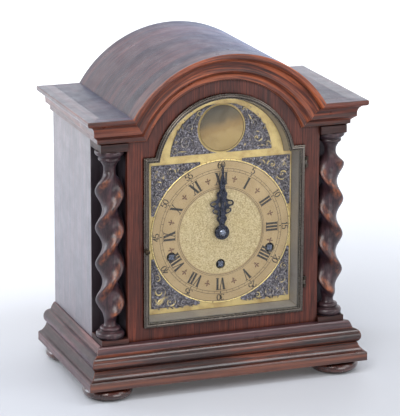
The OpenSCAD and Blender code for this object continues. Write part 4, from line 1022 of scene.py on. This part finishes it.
def arch_relief(name, sx):
    """Scrolls in the dial's arch, beside the boss."""
    def on_plate(x, z):
        return z > 237.4 and x > 2.0 and hypot(x, z - BOSS_Z) > 26.8 and hypot(x, z - ARCH_Z - 9.0) < 51.6
    cast = Relief(lambda x, z, h: (sx * x, SPANDREL_FACE - h, z))
    cast.foliage(31 + sx, 2.0, 54.0, 237.0, 286.0, on_plate)
    cast.scroll((37.5, 248.0, 7.6, 1.0, 200, -310, 44), 2.1, 1.6, 1.4)
    cast.line(bent((31.0, 254.5), (24.6, 276.0), -3.2, 20), 1.9, 1.4)
    cast.scroll((33.0, 263.4, 5.2, 0.8, -120, 330, 34), 1.7, 1.5, 1.1)
    cast.scroll((23.0, 277.4, 3.4, 0.5, -150, 280, 26), 1.4, 1.2, 0.8)
    cast.line(bent((36.0, 239.4), (51.0, 237.6), 1.2), 1.7, 1.3)
    cast.scroll((48.4, 241.0, 3.4, 0.6, -80, 360, 28), 1.5, 1.3, 0.9)
    cast.leaf((45.6, 251.0), (50.2, 246.6), 2.8, 1.2, 0.8)
    cast.leaf((43.5, 255.0), (45.6, 262.0), 3.0, 1.2, -0.8)
    cast.leaf((39.4, 257.6), (40.6, 268.4), 3.0, 1.2, -1.0)
    cast.leaf((29.4, 250.0), (28.0, 243.0), 3.0, 1.2, 0.8)
    cast.leaf((26.0, 244.2), (21.0, 239.0), 2.8, 1.2, 0.6)
    cast.leaf((31.5, 238.6), (24.0, 237.6), 2.0, 1.0, 0.3)
    cast.leaf((33.6, 270.0), (28.4, 275.2), 2.8, 1.2, -0.8)
    cast.leaf((18.6, 281.0), (12.0, 283.8), 1.6, 0.9, -0.3)
    cast.leaf((27.6, 265.6), (26.8, 271.6), 2.0, 1.1, 0.4)
    cast.beads((30.4, 258.2), (44.6, 244.8), (41.4, 241.8), (33.6, 241.2), (38.4, 271.2), (30.6, 279.0),
               (27.0, 253.0), (52.0, 240.4), (36.2, 256.4), (24.6, 272.4))
    cast.make(name, relief_metal, "case", "cast_spandrel")


corner_relief("scrolls_upper_right", 1, 1, 72.8)
corner_relief("scrolls_upper_left", -1, 1, 72.8)
corner_relief("scrolls_lower_right", 1, -1, 75.5)
corner_relief("scrolls_lower_left", -1, -1, 75.5)
arch_relief("scrolls_arch_right", 1)
arch_relief("scrolls_arch_left", -1)


# Lofts along the break-arch outline
BEZEL_FACE = -67.0
BEZEL_HALF, BEZEL_DOWN, BEZEL_UP, BEZEL_ARCH = 84.2, 88.4, 84.0, 74.0
KNUCKLE_X, KNUCKLE_Y = 85.7, -65.4
KNUCKLE_Z = (DIAL_Z + 66, DIAL_Z - 58)


def break_arch_loop(half, z0, z1, r, parts=72):
    """Outline from the lower left corner round to the left shoulder, as X and Z."""
    reach = degrees(atan2(sqrt(r * r - (z1 - ARCH_Z) ** 2), z1 - ARCH_Z))
    arch = arc(0, ARCH_Z, r, r, 90 - reach, 90 + reach, parts)
    return [(-half, z0), (half, z0), (half, z1)] + arch + [(-half, z1)]


def loft_round(shape, loops):
    """Closed skin over loops of (points, y), the last joined to the first."""
    shape.hoop([[(x, y, z) for x, z in points] for points, y in loops])


def bezel():
    """Moulded door frame with a bead, and a knuckle and a leaf at each of its two hinges."""
    shape = Shape()
    profile = [(0.0, -64.2), (0.0, -66.35), (0.1, -66.6), (0.3, -66.72), (0.8, -66.76), (0.95, -66.86),
               (1.02, BEZEL_FACE)]
    profile += arc(2.3, BEZEL_FACE, -1.25, -1.3, 15, 165, 10)
    profile += [(3.57, BEZEL_FACE), (3.64, -66.84), (3.8, -66.76), (4.0, -66.8), (4.1, -67.1), (4.25, -67.34),
                (4.5, -67.42), (4.75, -67.34), (4.9, -67.1), (4.9, -66.2), (3.95, -66.2), (3.95, -64.2)]
    loft_round(shape, [(break_arch_loop(BEZEL_HALF - d, DIAL_Z - BEZEL_DOWN + d, DIAL_Z + BEZEL_UP - d,
                                        BEZEL_ARCH - d), y) for d, y in profile])
    for z in KNUCKLE_Z:
        shape.tube([[(x, y, z + dz) for x, y in circle(KNUCKLE_X, KNUCKLE_Y, r, 20)]
                    for dz, r in ((-1.73, 0.5), (-1.73, 1.05), (-1.58, 1.2), (1.58, 1.2), (1.73, 1.05), (1.73, 0.5))])
        shape.tube([[(x, -65.95, z - 1.6), (x, -64.95, z - 1.6), (x, -64.95, z + 1.6), (x, -65.95, z + 1.6)]
                    for x in (83.9, 85.0)])
    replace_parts(shape.make("moulded_bezel", bezel_bronze, "bezel_door", "bezel_bronze"), "bezel_frame")


def surround():
    """Sloping frame from the bezel's opening down to the dial."""
    shape = Shape()
    outer = (80.4, 84.6, 80.2, 70.2)
    inner = (74.95, 79.25, 76.55, 67.15)
    profile = [(0.0, -64.0), (0.04, -64.15), (0.16, -64.2), (0.22, -64.0), (0.26, -63.5)]
    profile += [(0.26 + 0.68 * i / 4, -63.5 + 8.3 * i / 4) for i in range(1, 5)]
    profile += [(0.97, -54.85), (1.0, -54.6), (1.0, -52.4), (0.0, -52.4)]
    loops = []
    for share, y in profile:
        half, low, high, r = (a + (b - a) * share for a, b in zip(outer, inner))
        loops.append((break_arch_loop(half, DIAL_Z - low, DIAL_Z + high, r), y))
    loft_round(shape, loops)
    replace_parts(shape.make("sloping_surround", sight_bronze, "case", "bezel_bronze"), "sight_surround")


def ring_rim():
    """Bright edge round the chapter ring."""
    shape = Shape()
    low = Y_DIAL - 0.2
    top = [(r, Y_RING + y) for r, y in ((72.3, -0.05), (72.5, -0.25), (72.9, -0.32), (73.3, -0.2), (73.5, 0.1))]
    shape.ring((0.0, DIAL_Z), [(72.3, low)] + top + [(73.55, low)], 180)
    shape.make("ring_rim", rim_gold, "case", "dial_brass")


def boss():
    """Bare domed boss with its raised rim."""
    shape = Shape()
    dome = [(22.9 * i / 16, -0.9 - 1.5 * (1.0 - (i / 16) ** 2)) for i in range(17)]
    rim = [(22.98, -0.72), (23.12, -0.76), (23.25, -1.1), (23.42, -1.3), (23.62, -1.3), (23.82, -1.1), (23.96, -0.8),
           (24.0, -0.4), (24.0, 0.0), (0.0, 0.0)]
    shape.lathe((0.0, BOSS_Z), [(r, Y_DIAL + y) for r, y in dome + rim], 96)
    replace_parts(shape.make("domed_boss", boss_brass, "case", "dial_brass"), "arch_boss")


bezel()
surround()
ring_rim()
boss()


# Blued hands
HAND_THICK = 0.8


def plate_mesh(name, loops, y_front, bevel):
    """Rounded plate from closed outlines in X and Z about the dial's middle. Inner outlines are openings."""
    curve = bpy.data.curves.new(name, "CURVE")
    curve.dimensions = "2D"
    curve.fill_mode = "BOTH"
    curve.extrude = (HAND_THICK / 2 - bevel) * MM
    curve.bevel_depth = bevel * MM
    curve.bevel_resolution = 2
    for loop in loops:
        spline = curve.splines.new("POLY")
        spline.points.add(len(loop) - 1)
        for p, (x, z) in zip(spline.points, loop):
            p.co = (x * MM, z * MM, 0.0, 1.0)
        spline.use_cyclic_u = True
    o = linked(name, curve)
    bpy.context.view_layer.update()
    mesh = bpy.data.meshes.new_from_object(o.evaluated_get(bpy.context.evaluated_depsgraph_get()))
    bpy.data.objects.remove(o)
    mesh.transform(Matrix.Rotation(radians(90), 4, "X"))
    mesh.transform(Matrix.Translation((0.0, (y_front + HAND_THICK / 2) * MM, DIAL_Z * MM)))
    face_outwards(mesh, 0.000005)
    mesh.name = name
    mesh.materials.clear()
    return mesh


def eye(cx, cz, rx, rz, n=14, turn=0.0):
    """Round opening, with its outline the other way about."""
    c, s = cos(radians(turn)), sin(radians(turn))
    return [(cx + rx * u * c + rz * v * s, cz + rx * u * s - rz * v * c) for u, v in circle(0, 0, 1, n)]


def smooth_open(points, rounds=2):
    """Corner-cut an open line, keeping its two ends."""
    for _ in range(rounds):
        cut = [points[0]]
        for (ax, ay), (bx, by) in zip(points, points[1:]):
            cut += [(0.75 * ax + 0.25 * bx, 0.75 * ay + 0.25 * by), (0.25 * ax + 0.75 * bx, 0.25 * ay + 0.75 * by)]
        points = cut + [points[-1]]
    return points


def hand(name, hub, half, stem, openings, y_front, bevel, body, node):
    """Hand with a round hub, a stem that is half wide where it leaves the hub, and openings."""
    right = arc(0, 0, hub, hub, -90, 90 - degrees(asin(half / hub)), 40)[1:] + smooth_open(stem)
    outline = right + [(-x, z) for x, z in reversed(right)]
    mesh = plate_mesh(name, [outline] + openings, y_front, bevel)
    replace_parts(add_piece(name, mesh, blued, body), node)


def hour_hand():
    stem = [(2.5, 9.0), (3.2, 10.6), (5.0, 12.2), (5.4, 14.6), (4.0, 16.4), (3.0, 17.4), (4.6, 18.4), (8.6, 19.6),
            (10.2, 21.8), (9.2, 24.0), (6.6, 24.6), (8.6, 26.2), (11.8, 27.0), (12.6, 29.6), (10.8, 32.0),
            (7.4, 32.4), (5.0, 33.6), (4.6, 35.8), (5.8, 38.2), (5.0, 40.6), (3.0, 42.0), (2.2, 44.5), (3.0, 47.0),
            (2.0, 50.0), (1.2, 55.0), (0.3, 58.8)]
    openings = [eye(0.0, 0.0, 3.7, 3.7, 32)]
    for s in (-1, 1):
        openings += [eye(s * 6.4, 21.6, 2.5, 1.8, 16, s * 20), eye(s * 8.5, 29.4, 2.8, 1.8, 16, s * -15),
                     eye(s * 2.5, 28.2, 1.4, 2.6, 16, s * -12), eye(s * 2.2, 13.8, 1.3, 1.8),
                     eye(s * 2.1, 38.2, 1.1, 1.8)]
    openings += [eye(0.0, 21.0, 1.3, 1.9), eye(0.0, 33.8, 1.2, 1.5)]
    hand("pierced_hour_hand", 7.4, 2.6, stem, openings, -58.0, 0.16, "hour", "hour_hand")


def minute_hand():
    stem = [(1.9, 8.6), (2.6, 10.6), (3.2, 12.6), (2.0, 15.0), (1.7, 22.0), (1.5, 36.0), (2.6, 39.0), (3.4, 42.0),
            (2.4, 45.0), (1.8, 46.6), (2.8, 49.6), (2.6, 53.0), (1.6, 55.6), (1.2, 60.0), (0.25, 70.4)]
    openings = [eye(0.0, 0.0, 2.55, 2.55, 32), eye(0.0, 42.0, 1.3, 2.0), eye(0.0, 51.0, 1.0, 1.8)]
    hand("shaped_minute_hand", 7.0, 2.0, stem, openings, -60.2, 0.14, "centre", "minute_hand")


hour_hand()
minute_hand()


# Fittings of the movement and the back
PLATE_BACK = 6.0
PILLAR_X, PILLAR_LOW, PILLAR_HIGH = 72.0, 99.0, 215.0
HAMMER_POST, HAMMER_POST_END = (30.0, 101.0), 56.0
# Radius of the holes that hold a bush, and the pieces whose arbors run in them
HOLES = ((1.7, ("third_wheel", "escape_wheel", "balance_wheel", "strike_pin_wheel", "chime_drum")),
         (2.2, ("centre_arbor",)), (4.3, ("time_winder", "strike_winder", "chime_winder")))
BUSH_WALL = 2.0
HINGE_Z, HINGE_STEP = (93.0, 203.0), 10.0
FRAME_SCREW_X, DOOR_SCREW_X, LEAF_FACE, HINGE_SCREW_R = 95.6, 82.6, 84.4, 1.9
BUTTON_X, BUTTON_Z, BUTTON_FACE, BUTTON_SCREW_R = -96.0, 155.0, 86.5, 2.7


def middle_of(node):
    """Middle of a CAD node in X and Z, in millimetres."""
    points = [NODES[node].matrix_world @ v.co for v in NODES[node].data.vertices]
    return tuple((min(p[i] for p in points) + max(p[i] for p in points)) / 2 / MM for i in (0, 2))


def behind(base, *profile):
    """Profile of (radius, height) on a face at base that looks backwards."""
    return [(r, base + h) for r, h in profile]


def plate_fittings():
    bushes, heads = Shape(), Shape()
    for hole, nodes in HOLES:
        out = hole + BUSH_WALL
        section = behind(PLATE_BACK, (hole, -0.2), (hole, 0.25), (hole + 0.5, 0.12), (out - 0.7, 0.55),
                         (out - 0.2, 0.5), (out, 0.2), (out, -0.2))
        for node in nodes:
            bushes.ring(middle_of(node), section)
    foot = behind(PLATE_BACK, (0.0, -0.1), (6.4, -0.1), (6.4, 1.4), (5.9, 1.8), (4.2, 2.0), (3.6, 3.4), (0.0, 3.4))
    bushes.lathe(HAMMER_POST, foot, 40)
    bushes.make("arbor_bushes", wheel_brass, "case", "wheel_brass")
    slot = 20.0
    for x in (-PILLAR_X, PILLAR_X):
        for z in (PILLAR_LOW, PILLAR_HIGH):
            heads.ring((x, z), behind(PLATE_BACK, (3.0, -0.1), (3.0, 0.5), (5.0, 0.5), (5.3, 0.2), (5.3, -0.1)))
            heads.screw(x, z, PLATE_BACK + 0.4, 4.0, slot)
            slot += 57.0
    nut = behind(HAMMER_POST_END, (0.0, -0.4), (4.0, -0.4), (4.2, 0.0), (4.2, 1.6), (3.6, 2.3), (1.8, 2.8),
                 (0.0, 2.9))
    heads.lathe(HAMMER_POST, nut, 6)
    heads.make("pillar_screws", blued, "case", "blued_steel")


def hinge_screws():
    fixed, swinging, button = Shape(), Shape(), Shape()
    slot = 35.0
    for z in HINGE_Z:
        for at in (z - HINGE_STEP, z + HINGE_STEP):
            fixed.screw(FRAME_SCREW_X, at, LEAF_FACE, HINGE_SCREW_R, slot)
            slot += 71.0
        swinging.screw(DOOR_SCREW_X, z, LEAF_FACE, HINGE_SCREW_R, slot)
    button.screw(BUTTON_X, BUTTON_Z, BUTTON_FACE, BUTTON_SCREW_R, 62.0)
    fixed.make("hinge_screws_case", hinge_brass, "case", "hinge_brass")
    swinging.make("hinge_screws_door", hinge_brass, "back_door", "hinge_brass")
    button.make("turn_button_screw", hinge_brass, "turn_button", "hinge_brass")


plate_fittings()
hinge_screws()
